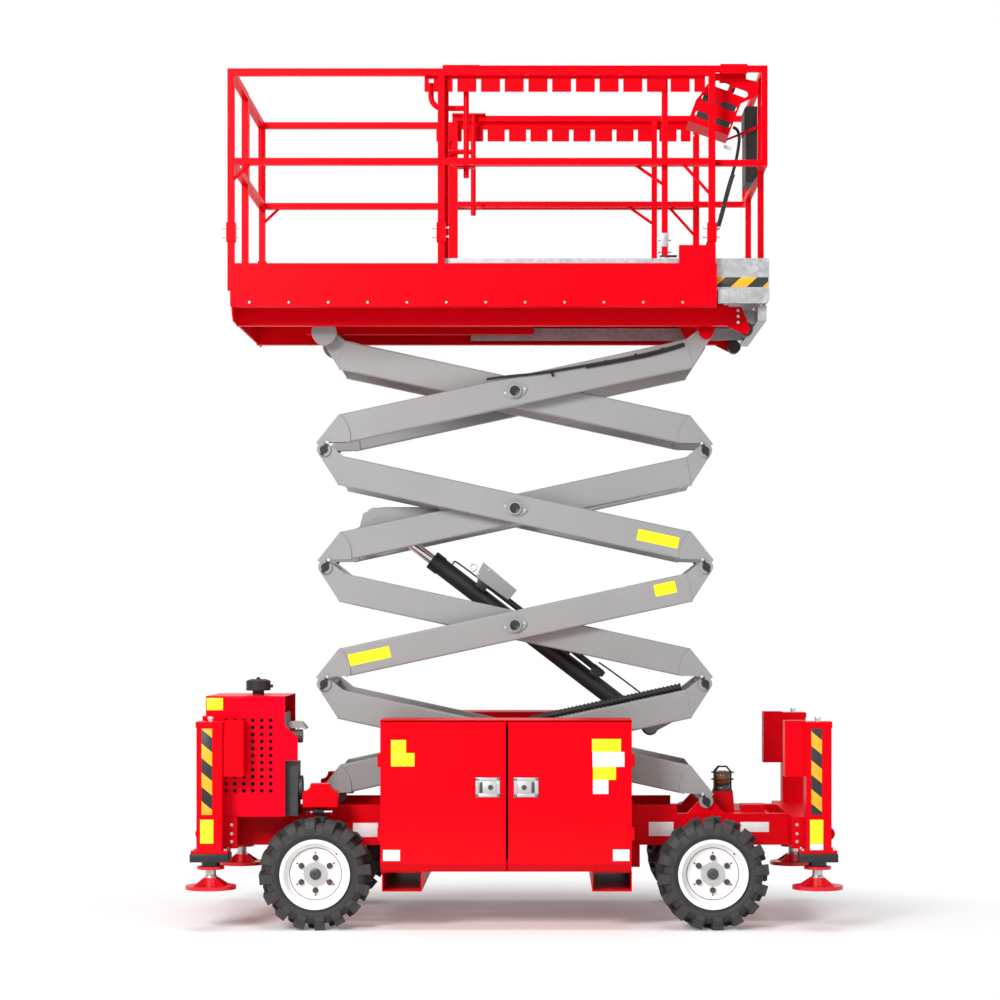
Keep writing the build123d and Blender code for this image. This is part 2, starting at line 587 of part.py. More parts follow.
def tie_down(end, side):
    """Round-ended lashing eye on an end beam."""
    root = END_BEAM_X - 10
    sketch = Pos(end * TIE_X, TIE_Z) * Circle(TIE_EDGE_R)
    sketch += Pos(end * (root + TIE_X) / 2, TIE_Z) * Rectangle(TIE_X - root, 2 * TIE_EDGE_R)
    sketch -= Pos(end * TIE_X, TIE_Z) * Circle(TIE_R)
    return side_plate(sketch, side * TIE_Y, TIE_T)


def fork_pocket(x):
    """Rectangular tube across the machine for a lift truck's fork."""
    wall = FORK_WALL
    outer_box = slab((x - FORK_W / 2, x + FORK_W / 2), (-FORK_HALF_Y, FORK_HALF_Y),
                     (FORK_Z0, FORK_Z0 + FORK_H))
    inner_box = slab((x - FORK_W / 2 + wall, x + FORK_W / 2 - wall), (-FORK_HALF_Y - 1, FORK_HALF_Y + 1),
                     (FORK_Z0 + wall, FORK_Z0 + FORK_H - wall))
    return outer_box - inner_box


def chassis_frame():
    """Side members, cross members, scissor lugs, roller channels, fork pockets and axle beams."""
    pieces = [slab((x - 50, x + 50), (-RAIL_IN, RAIL_IN), (RAIL_Z0 + 20, RAIL_Z1 - 30)) for x in CROSS_X]
    pieces.append(slab(BEACON_BED, (-RAIL_IN, RAIL_IN), (RAIL_Z0 + 20, RAIL_Z1)))
    pieces.append(slab((-1500, -1180), (-RAIL_IN, RAIL_IN), (RAIL_Z1 - 20, RAIL_Z1)))
    for side in (NEAR, FAR):
        pieces.append(slab((-RAIL_END, RAIL_END), band(side, RAIL_IN, RAIL_OUT), (RAIL_Z0, RAIL_Z1)))
        pieces.append(slab((-PAN_X, PAN_X), band(side, RAIL_IN, CAB_Y0), (PAN_Z, RAIL_Z0)))
        pieces.append(slab((-HINGE_X - TRACK_OVERRUN - ROLLER_R, HINGE_X - 150),
                           band(side, RAIL_OUT - GUARD_T, RAIL_OUT), (RAIL_Z1 - 1, GUARD_Z)))
        pieces.append(hinge_lug(side))
        pieces += axle_fork(side)
    for end in (LEFT, RIGHT):
        pieces.append(slab(band(end, RAIL_END - 60, END_BEAM_X),
                           (-LEG_Y + LEG_W / 2 + SEAT, LEG_Y - LEG_W / 2 - SEAT), (RAIL_Z0, RAIL_Z1)))
        x = end * HALF_BASE
        pieces.append(slab((x - 40, x + 40), (-AXLE_Y, AXLE_Y), (WHEEL_R - 40, WHEEL_R + 40)))
        pieces.append(slab((x - 50, x + 50), (-RAIL_OUT, RAIL_OUT), (WHEEL_R + 30, RAIL_Z0 + 10)))
        pieces += [tie_down(end, side) for side in (NEAR, FAR)]
    pieces += [fork_pocket(x) for x in FORK_X]
    return fuse(pieces)


def outrigger_posts():
    """Four square legs with their caps and side housings, standing on their flanges."""
    pieces = []
    half = LEG_W / 2
    for end in (LEFT, RIGHT):
        for side in (NEAR, FAR):
            x, y = end * LEG_X, side * LEG_Y
            leg = slab((x - half, x + half), (y - half, y + half), (LEG_Z0 + FLANGE_T + SEAT, LEG_Z1))
            cap = slab((x - half - 4, x + half + 4), (y - half - 1, y + half + 1), (LEG_Z1 - 30, LEG_Z1))
            bolt = Pos(x, y, LEG_Z1 + 10) * Cylinder(12, 22)
            housing = slab(band(end, LEG_X - half - HOUSING_W, LEG_X - half),
                           band(side, LEG_Y - half, LEG_Y + half - 20), (HOUSING_Z0, LEG_Z1 + 5))
            shell = fuse([leg, cap, bolt, housing])
            hollow = Pos(x, y, (LEG_Z0 + LEG_Z1) / 2 - 20) * Cylinder(JACK_R + 1, LEG_Z1 - LEG_Z0)
            pieces.append(shell - hollow)
    return Compound(children=pieces)


def outrigger_flanges():
    """Bored base flanges under the legs."""
    pieces = []
    for x in (-LEG_X, LEG_X):
        for y in (-LEG_Y, LEG_Y):
            plate = slab((x - FLANGE_HALF_X, x + FLANGE_HALF_X), (y - FLANGE_HALF_Y, y + FLANGE_HALF_Y),
                         (LEG_Z0, LEG_Z0 + FLANGE_T))
            pieces.append(plate - rod((x, y, LEG_Z0 - 1), (x, y, LEG_Z0 + FLANGE_T + 1), JACK_R + 1))
    return Compound(children=pieces)


def jack(end, side):
    """Inner leg with its ring, ball joint and foot."""
    top = LEG_Z0 + JACK_TRAVEL + 120
    profile = [(0, FOOT_Z0), (FOOT_R, FOOT_Z0), (FOOT_R, FOOT_Z1), (40, FOOT_Z1), (34, 262),
               (26, 276), (26, 300), (68, 304), (68, 318), (46, 322), (46, 340), (60, 342), (60, 368),
               (JACK_R, 370), (JACK_R, top), (0, top)]
    body = revolve(Plane.XZ * Polygon(*profile, align=None), Axis.Z)
    fin = Polygon((30, FOOT_Z1 - 2), (FOOT_R - 12, FOOT_Z1 - 2), (44, 262), (30, 262), align=None)
    gussets = [Rot(0, 0, 90 * i + 45) * side_plate(fin, 0, 8) for i in range(4)]
    return Pos(end * LEG_X, side * LEG_Y, 0) * fuse([body] + gussets)


def cabinet_profile(inset):
    """End view of a cabinet on the far side, shrunk by inset."""
    y0, y1 = CAB_Y0 + inset, CAB_Y1 - DOOR_T - inset
    return [(y0, CAB_Z0 + inset), (y1 - CAB_BEND_IN, CAB_Z0 + inset), (y1, CAB_BEND_Z + inset),
            (y1, CAB_Z1 - inset), (y0, CAB_Z1 - inset)]


def cabinet(side):
    """Hollow side cabinet, open to its doors."""
    shell = extrude(Plane.YZ * Polygon(*cabinet_profile(0), align=None), CAB_X1 - CAB_X0)
    hollow = extrude(Plane.YZ * Polygon(*cabinet_profile(CAB_WALL), align=None),
                     CAB_X1 - CAB_X0 - 2 * CAB_WALL)
    frame = 5 * CAB_WALL
    mouth = slab((frame, CAB_X1 - CAB_X0 - frame), (CAB_Y1 - DOOR_T - 2 * CAB_WALL, CAB_Y1 + 1),
                 (CAB_BEND_Z + frame, CAB_Z1 - frame))
    body = shell - Pos(CAB_WALL, 0, 0) * hollow - mouth
    roof = slab((0, CAB_X1 - CAB_X0), (CAB_Y0, CAB_Y1), (CAB_Z1 - 4, CAB_Z1))
    body = Pos(CAB_X0, 0, 0) * (body + roof)
    return body if side == FAR else body.mirror(Plane.XZ)


DOOR_Z0, DOOR_Z1 = CAB_Z0 + 3, CAB_Z1 - 4 - DOOR_GAP


def door(side, end):
    """A cabinet door, bent in at its foot, with its latch plate and hinge knuckles."""
    x0, x1 = (CAB_X0 + 1, CAB_SPLIT_X - DOOR_GAP) if end == LEFT else (CAB_SPLIT_X + DOOR_GAP, CAB_X1 - 1)
    y0, y1 = CAB_Y1 - DOOR_T + SEAT, CAB_Y1
    lean = CAB_BEND_IN * (CAB_BEND_Z - DOOR_Z0) / (CAB_BEND_Z - CAB_Z0)
    section = Polygon((y0, CAB_BEND_Z), (y0 - lean, DOOR_Z0), (y1 - lean, DOOR_Z0), (y1, CAB_BEND_Z),
                      (y1, DOOR_Z1), (y0, DOOR_Z1), align=None)
    pieces = [Pos(x0, 0, 0) * extrude(Plane.YZ * section, x1 - x0)]
    latch_x = x1 - 90 if end == LEFT else x0 + 90
    pieces.append(slab((latch_x - 60, latch_x + 60), (y1 - 1, y1 + 3), (LATCH_Z0, LATCH_Z1)))
    line_x = (CAB_X0 if end == LEFT else CAB_X1) + end * DOOR_HINGE_OUT
    line_y = y1 - DOOR_HINGE_IN
    for z in KNUCKLE_Z:
        z0, z1 = z - KNUCKLE_L / 2, z + KNUCKLE_L / 2
        pieces.append(rod((line_x, line_y, z0), (line_x, line_y, z1), KNUCKLE_R))
        pieces.append(slab(tuple(sorted((line_x, line_x - end * 24))), (line_y + 1, line_y + KNUCKLE_R),
                           (z0, z1)))
    body = fuse(pieces)
    return body if side == FAR else body.mirror(Plane.XZ)


# ---------------------------------------------------------------- engine and small units
def grille_box(grow):
    """Ranges of x and z of the grille plate, grown all round."""
    reach = GRILLE_EDGE + grow
    return ((GRILLE_X0 - reach, GRILLE_X0 + (GRILLE_COLS - 1) * GRILLE_PITCH_X + reach),
            (GRILLE_Z0 - reach, GRILLE_Z0 + (GRILLE_ROWS - 1) * GRILLE_PITCH_Z + reach))


def engine_cover():
    """Folded hood over the engine, open underneath, at the grille and towards the cabinet."""
    x, y, z = HOOD_X, HOOD_Y, (RAIL_Z1 + SEAT, HOOD_TOP)
    outer = slab(x, y, z)
    inner = slab((x[0] + SHEET, x[1] + 1), (y[0] + SHEET, y[1] - SHEET), (z[0] - 1, z[1] - SHEET))
    window_x, window_z = grille_box(-8)
    window = slab(window_x, (y[0] - 1, y[0] + SHEET + 1), window_z)
    wing = Polygon((x[1] - 1, 1021), (x[1] + 65, 964), (x[1] + 65, 844), (x[1] - 1, 844), align=None)
    return (outer - inner - window) + side_plate(wing, y[0] + SHEET / 2, SHEET)


def engine_grille():
    """Punched plate behind the hood's opening."""
    x, z = grille_box(0)
    y = HOOD_Y[0] + SHEET + SEAT
    holes = [side_plate(Pos(GRILLE_X0 + col * GRILLE_PITCH_X, GRILLE_Z0 + row * GRILLE_PITCH_Z)
                        * RegularPolygon(GRILLE_HOLE_R, 6), y + SHEET / 2, SHEET + 2)
             for col in range(GRILLE_COLS) for row in range(GRILLE_ROWS)]
    return slab(x, (y, y + SHEET), z) - fuse(holes)


def engine_block():
    """The closed-in engine as one block, with what stands out at its open end."""
    floor = RAIL_Z1 + SEAT
    block = slab((-1520, -1180), (-520, -90), (floor, 1080))
    front = slab((-1185, -1100), (-510, -368), (floor, 835))
    pulley = rod((-1185, -438, 700), (-1082, -438, 700), 62)
    filter_can = rod((-1185, -480, 965), (-1078, -480, 965), 34)
    return fuse([block, front, pulley, filter_can])


def air_cleaner():
    """Mushroom pre-cleaner on the hood."""
    top = HOOD_TOP
    profile = [(0, top), (30, top), (30, top + 22), (62, top + 22), (62, top + 72), (40, top + 80),
               (0, top + 80)]
    return Pos(*CLEANER_AT, 0) * revolve(Plane.XZ * Polygon(*profile, align=None), Axis.Z)


def steer_covers():
    """Coved covers over the two steering rams, on brackets from the frame."""
    pieces = []
    for side in (NEAR, FAR):
        body = slab(COVER_X, band(side, *COVER_Y), COVER_Z)
        coves = [y_rod(x, COVER_Z[1], *band(side, COVER_Y[0] - 1, COVER_Y[1] + 1), COVE_R) for x in COVER_X]
        bracket = slab((COVER_X[0] + 63, COVER_X[1] - 53), band(side, RAIL_OUT + SEAT, COVER_Y[0] + 15),
                       (RAIL_Z1 + 6, COVER_Z[0] + 1))
        pieces.append(fuse([body - fuse(coves), bracket]))
    return Compound(children=pieces)


def drive_motors():
    """Wheel motors on the fixed axle."""
    return Compound(children=[
        y_rod(HALF_BASE, WHEEL_R, *band(side, AXLE_Y + SEAT, WHEEL_Y + HUB_IN - SEAT), 90.0)
        for side in (NEAR, FAR)])


def beacon():
    """Amber lamp on its black base."""
    z = BEACON_Z
    profile = [(0, z), (50, z), (50, z + 12), (40, z + 36), (34, z + 38), (34, z + 82), (20, z + 99),
               (0, z + 102)]
    return Pos(*BEACON_AT, 0) * revolve(Plane.XZ * Polygon(*profile, align=None), Axis.Z)


def beacon_guard():
    """Tapered post and wire cage round the lamp, with the valve box beside it."""
    x, y = BEACON_AT
    floor = RAIL_Z1 + SEAT
    taper = Polygon((x - 60, floor), (x + 60, floor), (x + 50, BEACON_Z - SEAT), (x - 50, BEACON_Z - SEAT),
                    align=None)
    pieces = [side_plate(taper, y, 120),
              slab((x, VALVE_X[1]), (y - 60, y + 60), (floor, floor + 6)),
              slab(VALVE_X, (y - 60, y + 60), (floor, VALVE_TOP))]
    loop = [(-58, 0, BEACON_Z - 20), (-58, 0, 765), (-30, 0, 790), (30, 0, 790), (58, 0, 765),
            (58, 0, BEACON_Z - 20)]
    for turn in (45, 135):
        bars = [rod(a, b, 4) for a, b in zip(loop, loop[1:])]
        pieces.append(Pos(x, y, 0) * Rot(0, 0, turn) * fuse(bars))
    return fuse(pieces)


def entry_ladder():
    """Ladder frame at the left end, far half."""
    x, ys = LADDER_X, LADDER_Y
    foot_z = RAIL_Z1 - 30
    pieces = [rod((x, y, 330), (x, y, 1045), 12) for y in ys]
    pieces += [rod((x, ys[0], z), (x, ys[1], z), 11) for z in (350, 580, 810, 1033)]
    pieces += [rod((x, y, foot_z), (-END_BEAM_X - SEAT, y, foot_z), 12) for y in ys]
    return fuse(pieces)


# ---------------------------------------------------------------- platform
def platform_lug(side):
    """Two bored-looking cheeks under the deck that hold the stack's fixed upper pin."""
    x, z = HINGE_X, TOP_PIN_Z
    web = Polygon((x - 110, JOIST_Z0), (x - BOSS_R, z), (x + BOSS_R, z), (x + 90, JOIST_Z0), align=None)
    sketch = web + Pos(x, z) * Circle(BOSS_R)
    cheek_y = (TUBE_W + CHEEK_T) / 2
    pieces = [side_plate(sketch, side * OUTER_Y + face * cheek_y, CHEEK_T) for face in (-1, 1)]
    half = TUBE_W / 2 + CHEEK_T
    pieces.append(slab((x - 110, x + 90), band(side, OUTER_Y - half, OUTER_Y + half),
                       (JOIST_Z0 - 20, FLOOR_Z)))
    return pieces


def platform_frame():
    """Deck, side panels, beams, hinge lugs and roller channels of the main platform."""
    pieces = [slab((DECK_X0, DECK_X1), (-DECK_HALF_Y, DECK_HALF_Y), (FLOOR_Z - 5, FLOOR_Z))]
    end_plate = Polygon((-END_PLATE_Y, PANEL_Z1), (END_PLATE_Y, PANEL_Z1), (END_PLATE_Y, END_PLATE_Z + 50),
                        (END_PLATE_Y - 50, END_PLATE_Z), (-END_PLATE_Y + 50, END_PLATE_Z),
                        (-END_PLATE_Y, END_PLATE_Z + 50), align=None)
    notch = slab((DECK_X0 - 1, DECK_X0 + PANEL_T + 1), (GATE_Y - RAIL_W / 2 - 4, GATE_Y + RAIL_W / 2 + 4),
                 (FLOOR_Z, PANEL_Z1 + 1))
    pieces.append(Pos(DECK_X0, 0, 0) * extrude(Plane.YZ * end_plate, PANEL_T, dir=(1, 0, 0)) - notch)
    track_z = TOP_PIN_Z + ROLLER_R + SEAT
    shaft = OUTER_Y + TUBE_W / 2 + CHEEK_T + 6
    pieces.append(y_rod(HINGE_X, TOP_PIN_Z, -shaft, shaft, SHAFT_R))
    for x in JOIST_X:
        pieces.append(slab((x - 20, x + 20), (-DECK_HALF_Y + 4, DECK_HALF_Y - 4), (JOIST_Z0, FLOOR_Z)))
    for side in (NEAR, FAR):
        panel_y = band(side, DECK_HALF_Y - PANEL_T, DECK_HALF_Y)
        pieces.append(slab((DECK_X0, DECK_X1), panel_y, (PANEL_Z0 - 1, PANEL_Z1)))
        pieces.append(slab(POCKET_X, panel_y, (PANEL_Z1 - 1, POCKET_Z[1])))
        pieces.append(slab((POCKET_X[0], POCKET_X[0] + 6), band(side, RAIL_Y - RAIL_W / 2, DECK_HALF_Y),
                           (POCKET_Z[0], POCKET_Z[1])))
        pieces.append(slab((DECK_X0, DECK_X1), band(side, FLANGE_Y0, DECK_HALF_Y), (FLANGE_Z0, PANEL_Z0)))
        pieces.append(slab((DECK_X0, BEAM_END), band(side, BEAM_Y0, BEAM_Y1), (BEAM_Z0, BEAM_Z1)))
        bracket = Polygon(*[(BEAM_END + out, FLOOR_Z + up) for out, up in BRACKET], align=None)
        pieces.append(side_plate(bracket, side * (BEAM_Y1 - 10), 10))
        pieces.append(slab((-HINGE_X - TRACK_OVERRUN - ROLLER_R, TRACK_END),
                           band(side, OUTER_Y - 35, OUTER_Y + 35), (track_z, FLOOR_Z)))
        pieces += platform_lug(side)
    return fuse(pieces)


def deck_rollers():
    """Rollers on the beam ends that carry the extension's bars."""
    return Compound(children=[
        y_rod(*DECK_ROLLER_AT, *band(side, BAR_Y[0] + 3, BEAM_Y1 - 15 - SEAT), DECK_ROLLER_R)
        for side in (NEAR, FAR)])


def brace(rail, post, y):
    """Thin diagonal from under a mid rail down to a post; both given as (x, z)."""
    return rod((rail[0], y, rail[1]), (post[0], y, post[1]), BRACE_R)


def comb_plate(side):
    """Plate under the top rail with slots open at the bottom."""
    plate = slab((COMB_X0, COMB_X1), band(side, COMB_Y, COMB_Y + COMB_T), (COMB_Z0, COMB_Z1))
    slots = [slab((x - COMB_SLOT_W / 2, x + COMB_SLOT_W / 2), band(side, COMB_Y - 1, COMB_Y + COMB_T + 1),
                  (COMB_Z0 - 1, COMB_SLOT_TOP))
             for x in (COMB_FIRST + COMB_PITCH * i for i in range(COMB_SLOTS)) if x < COMB_X1 - 20]
    ledge = slab((COMB_X0, COMB_X1), band(side, COMB_Y, RAIL_Y - RAIL_W / 2 + 1),
                 (RAIL_TOP - RAIL_W / 2, COMB_Z1))
    return [plate - fuse(slots), ledge]


def platform_rails():
    """Square guardrails with their posts and combs; the left end is open where the gate hangs."""
    pieces = []
    left, right = POST_X[0], POST_X[-1]
    for side in (NEAR, FAR):
        y = side * RAIL_Y
        for z in (RAIL_TOP, RAIL_MID):
            pieces.append(square_bar((left, y, z), (right, y, z), RAIL_W))
        for x in POST_X:
            foot = FLOOR_Z + SEAT + RAIL_W / 2
            pieces.append(square_bar((x, y, foot), (x, y, RAIL_TOP), RAIL_W))
            pieces.append(square_bar((x, y, SLEEVE_Z0 + SLEEVE_W / 2), (x, y, SLEEVE_Z1 - SLEEVE_W / 2),
                                     SLEEVE_W))
        pieces.append(brace((left + 95, RAIL_MID - 10), (left + 5, RAIL_MID - 95), y))
        pieces.append(brace((right - 145, RAIL_MID - 10), (right - 10, RAIL_MID - 160), y))
        pieces += comb_plate(side)
    for z in (RAIL_TOP, RAIL_MID):
        pieces.append(square_bar((left, -RAIL_Y, z), (left, GATE_Y, z), RAIL_W))
    pieces.append(square_bar((left, GATE_Y, FLOOR_Z + SEAT + RAIL_W / 2), (left, GATE_Y, RAIL_TOP), RAIL_W))
    for z in (RAIL_MID - RAIL_W / 2 - SEAT - 8, GATE_TOP + RAIL_W / 2 + SEAT):
        pieces.append(slab((left - 12, left + 12), (GATE_HINGE_Y - 12, RAIL_Y), (z, z + 8)))
    return fuse(pieces)


def gate():
    """Entry gate between the mid post and the far post, on a round hinge stile."""
    x = POST_X[0]
    y0, y1 = GATE_Y + RAIL_W + GATE_GAP, GATE_HINGE_Y
    half = RAIL_W / 2
    pieces = [slab((x - half, x + half), (y0 - half, y1), (z - half, z + half)) for z in (GATE_TOP, RAIL_MID)]
    pieces.append(square_bar((x, y0, RAIL_MID), (x, y0, GATE_TOP), RAIL_W))
    pieces.append(rod((x, y1, RAIL_MID - half), (x, y1, GATE_TOP + half), half))
    return fuse(pieces)


def extension_deck():
    """Roll-out deck with its toe boards, end channel, riding bars and lower cross beam."""
    pieces = [slab((EXT_X0, EXT_X1 - 20), (-EXT_HALF_Y, EXT_HALF_Y), (EXT_FLOOR_Z - EXT_T, EXT_FLOOR_Z)),
              slab((EXT_X1 - TOE_T, EXT_X1), (-EXT_HALF_Y, EXT_HALF_Y), (CHANNEL_Z[0] + 17, TOE_Z)),
              slab(END_BAR_X, (50 - EXT_HALF_Y, EXT_HALF_Y - 50), (END_BAR_Z0, BAR_Z1))]
    channel = Polygon((DECK_X1 + 8, CHANNEL_Z[0]), (EXT_X1 - 18, CHANNEL_Z[0]), (EXT_X1, CHANNEL_Z[0] + 18),
                      (EXT_X1, CHANNEL_Z[1]), (DECK_X1 + 8, CHANNEL_Z[1]), align=None)
    for side in (NEAR, FAR):
        pieces.append(slab((EXT_X0, EXT_X1), band(side, EXT_HALF_Y - TOE_T, EXT_HALF_Y),
                           (EXT_FLOOR_Z - EXT_T, TOE_Z)))
        lip_ends = [EXT_X0] + [x + reach for x in EXT_POST_X for reach in (-LIP_NOTCH, LIP_NOTCH)] + [EXT_X1]
        for x in zip(lip_ends[::2], lip_ends[1::2]):
            pieces.append(slab(x, band(side, EXT_HALF_Y - TOE_LIP, EXT_HALF_Y - 1), (TOE_Z - TOE_T, TOE_Z)))
        pieces.append(side_plate(channel, side * (EXT_HALF_Y + CHANNEL_OUT / 2 - 3), CHANNEL_OUT + 6))
        pieces.append(slab((EXT_X0, DECK_X1), band(side, RUNNER_Y - RUNNER_W / 2, RUNNER_Y + RUNNER_W / 2),
                           (FLOOR_Z + SEAT, EXT_FLOOR_Z - 1)))
        pieces.append(slab((BAR_X0, END_BAR_X[0] + 10), band(side, *BAR_Y), (BAR_Z0, BAR_Z1)))
        post_x = (END_BAR_X[0] + END_BAR_X[1]) / 2 - 12
        pieces.append(rod((post_x, side * (EXT_HALF_Y - 110), BAR_Z1 - 20),
                          (post_x, side * (EXT_HALF_Y - 110), EXT_FLOOR_Z - 2), 22))
    return fuse(pieces)


def push_handle(side):
    """Bent tube on the sliding guardrail, its top plate and its guide block."""
    y = side * HANDLE_Y
    path = FilletPolyline(*[(x, y, z) for x, z in HANDLE_PATH], radius=HANDLE_BEND)
    start = Plane(origin=path @ 0, z_dir=path % 0)
    bent = sweep(start * Circle(HANDLE_R), path)
    upright_x = HANDLE_PATH[-1][0]
    upright = rod((upright_x, y, HANDLE_LOW), (upright_x, y, EXT_TOP + EXT_W / 2), HANDLE_R)
    reach = band(side, HANDLE_Y - HANDLE_R, EXT_RAIL_Y)
    rail_top = EXT_TOP + EXT_W / 2
    top_plate = slab((upright_x - 117, upright_x + 68), reach, (rail_top - 1, rail_top + 6))
    guide = slab((upright_x - 47, upright_x + 47), reach, (EXT_MID - 21, EXT_MID + 7))
    return [bent, upright, top_plate, guide]


def extension_rails():
    """Square guardrails of the extension, with the end frame and the push handles."""
    pieces = []
    left, end = EXT_POST_X[0], EXT_END_X
    foot = EXT_FLOOR_Z + SEAT + EXT_W / 2
    for side in (NEAR, FAR):
        y = side * EXT_RAIL_Y
        for z in (EXT_TOP, EXT_MID):
            pieces.append(square_bar((left, y, z), (end, y, z), EXT_W))
        for x in EXT_POST_X:
            pieces.append(square_bar((x, y, foot), (x, y, EXT_TOP), EXT_W))
        pieces.append(square_bar((end, y, EXT_MID), (end, y, EXT_TOP), EXT_W))
        post_y = side * EXT_END_POST_Y
        pieces.append(square_bar((end, post_y, foot), (end, post_y, EXT_TOP), EXT_W))
        pieces.append(brace((EXT_POST_X[1] - 145, EXT_MID - 10), (EXT_POST_X[1] - 10, EXT_MID - 105), y))
        pieces += push_handle(side)
    for z in (EXT_TOP, EXT_MID):
        pieces.append(square_bar((end, -EXT_RAIL_Y, z), (end, EXT_RAIL_Y, z), EXT_W))
    return fuse(pieces)


# ---------------------------------------------------------------- upper controls
def control_guard():
    """Slotted guard plate hooked over the sliding rail, with its shelf and its stay to the end frame."""
    outline = [(EXT_X1 + x, EXT_TOP + z) for x, z in GUARD]
    sketch = Polygon(*outline, align=None)
    for x, z in GUARD_SLOTS:
        sketch -= Pos(EXT_X1 + x, EXT_TOP + z) * Rot(0, 0, GUARD_TILT) * SlotOverall(*GUARD_SLOT)
    plate = side_plate(sketch, GUARD_Y, GUARD_PLATE)
    low_right, low_left = outline[5], outline[6]
    shelf = Polygon(low_left, low_right, (low_right[0] - 2, low_right[1] - 5),
                    (low_left[0] - 2, low_left[1] - 5), align=None)
    end_face = EXT_END_X - EXT_W / 2 - SEAT
    stay = Polygon((low_right[0] - 8, low_right[1] - 6), (low_right[0] - 4, low_right[1] + 6),
                   (end_face, EXT_TOP - 243), (end_face, EXT_TOP - 257), align=None)
    rail_top, rail_half = EXT_TOP + EXT_W / 2 + SEAT, EXT_W / 2 + SEAT
    pieces = [plate, side_plate(shelf, GUARD_Y + 110, 220), side_plate(stay, -EXT_END_POST_Y - 10, 10),
              slab(HOOK_X, (-EXT_RAIL_Y - rail_half - 5, GUARD_Y), (rail_top, rail_top + 6)),
              slab(HOOK_X, (-EXT_RAIL_Y - rail_half - 5, -EXT_RAIL_Y - rail_half),
                   (EXT_TOP - 27, rail_top + 6)),
              slab(HOOK_X, (GUARD_Y - 2, GUARD_Y + 2), (EXT_TOP - 57, rail_top + 6))]
    return fuse(pieces)


def control_box():
    """Upper control box behind its guard, with its stick and emergency button."""
    length, depth, height = CONTROL_SIZE
    x, z = CONTROL_AT
    y = GUARD_Y + GUARD_PLATE / 2 + SEAT + depth / 2
    body = Box(length, depth, height)
    body = chamfer(body.edges().filter_by(Axis.Y), 8)
    stick = Pos(35, 10, height / 2 + 35) * Cylinder(9, 72) + Pos(35, 10, height / 2 + 74) * Cylinder(17, 26)
    button = Pos(-45, 10, height / 2 + 9) * Cylinder(20, 20)
    return Pos(x, y, z) * Rot(0, -GUARD_TILT, 0) * fuse([body, stick, button])


def document_case():
    """Case for the papers, hung inside the end frame."""
    outline = Polygon((CASE_X[0], CASE_Z[0]), (CASE_X[0], CASE_Z[1]), (CASE_X[1], CASE_Z[1]),
                      (CASE_X[1], CASE_Z[0] + 30), (CASE_X[1] - 25, CASE_Z[0]), align=None)
    case = side_plate(outline, (CASE_Y[0] + CASE_Y[1]) / 2, CASE_Y[1] - CASE_Y[0])
    lid = slab((CASE_X[0] - 6, CASE_X[0] + 1), (CASE_Y[0] + 8, CASE_Y[1] - 8),
               (CASE_Z[1] - 120, CASE_Z[1] - 8))
    return fuse([case, lid])


def bend_radii(points):
    """The radius of each bend so that its arc takes 0.45 of the shorter run beside it."""
    radii = []
    for before, at, after in zip(points, points[1:], points[2:]):
        a, b = Vector(*at) - Vector(*before), Vector(*after) - Vector(*at)
        turn = math.radians(a.get_angle(b))
        radii.append(0.45 * min(a.length, b.length) / math.tan(turn / 2))
    return radii


def control_cable():
    """Cable from the control box down to the toe board."""
    path = FilletPolyline(*CABLE, radius=bend_radii(CABLE))
    return sweep(Plane(origin=path @ 0, z_dir=path % 0) * Circle(CABLE_R), path)


def main():
    """Write every sub-part."""
    os.makedirs("parts", exist_ok=True)
    for side, side_name in ((NEAR, "near"), (FAR, "far")):
        export("cabinet_" + side_name, cabinet(side))
        export("steer_knuckle_" + side_name, steer_knuckle(side))
        for end, end_name in ((LEFT, "left"), (RIGHT, "right")):
            tag = side_name + "_" + end_name
            export("door_" + tag, door(side, end))
            export("jack_" + tag, jack(end, side))
            place = Pos(end * HALF_BASE, 0, 0)
            export("rim_" + tag, place * wheel_rim(side))
            export("tyre_" + tag, place * tyre(side))
    for name, level, lean, plane_y, upper_shaft, gap in ARMS:
        export(name, arm(level, lean, plane_y, upper_shaft, gap))
    export("chassis_frame", chassis_frame())
    export("outrigger_posts", outrigger_posts())
    export("outrigger_flanges", outrigger_flanges())
    export("lift_barrel", cylinder_barrel())
    export("lift_rod", cylinder_rod())
    export("rod_eye_pin", rod_eye_pin())
    export("engine_cover", engine_cover())
    export("engine_grille", engine_grille())
    export("engine_block", engine_block())
    export("air_cleaner", air_cleaner())
    export("steer_covers", steer_covers())
    export("drive_motors", drive_motors())
    export("beacon", beacon())
    export("beacon_guard", beacon_guard())
    export("entry_ladder", entry_ladder())
    export("platform_frame", platform_frame())
    export("deck_rollers", deck_rollers())
    export("platform_rails", platform_rails())
    export("gate", gate())
    export("extension_deck", extension_deck())
    export("extension_rails", extension_rails())
    export("control_guard", control_guard())
    export("control_box", control_box())
    export("document_case", document_case())
    export("control_cable", control_cable())


main()
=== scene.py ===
"""Looks of the rough-terrain scissor lift: finishes, small fittings, light and camera round its frame.

Metres, in the frame's own axes: +X to the end with the fixed hinge, -Y to the near side, +Z up.
"""
import json
import math

import bpy
from mathutils import Matrix, Vector


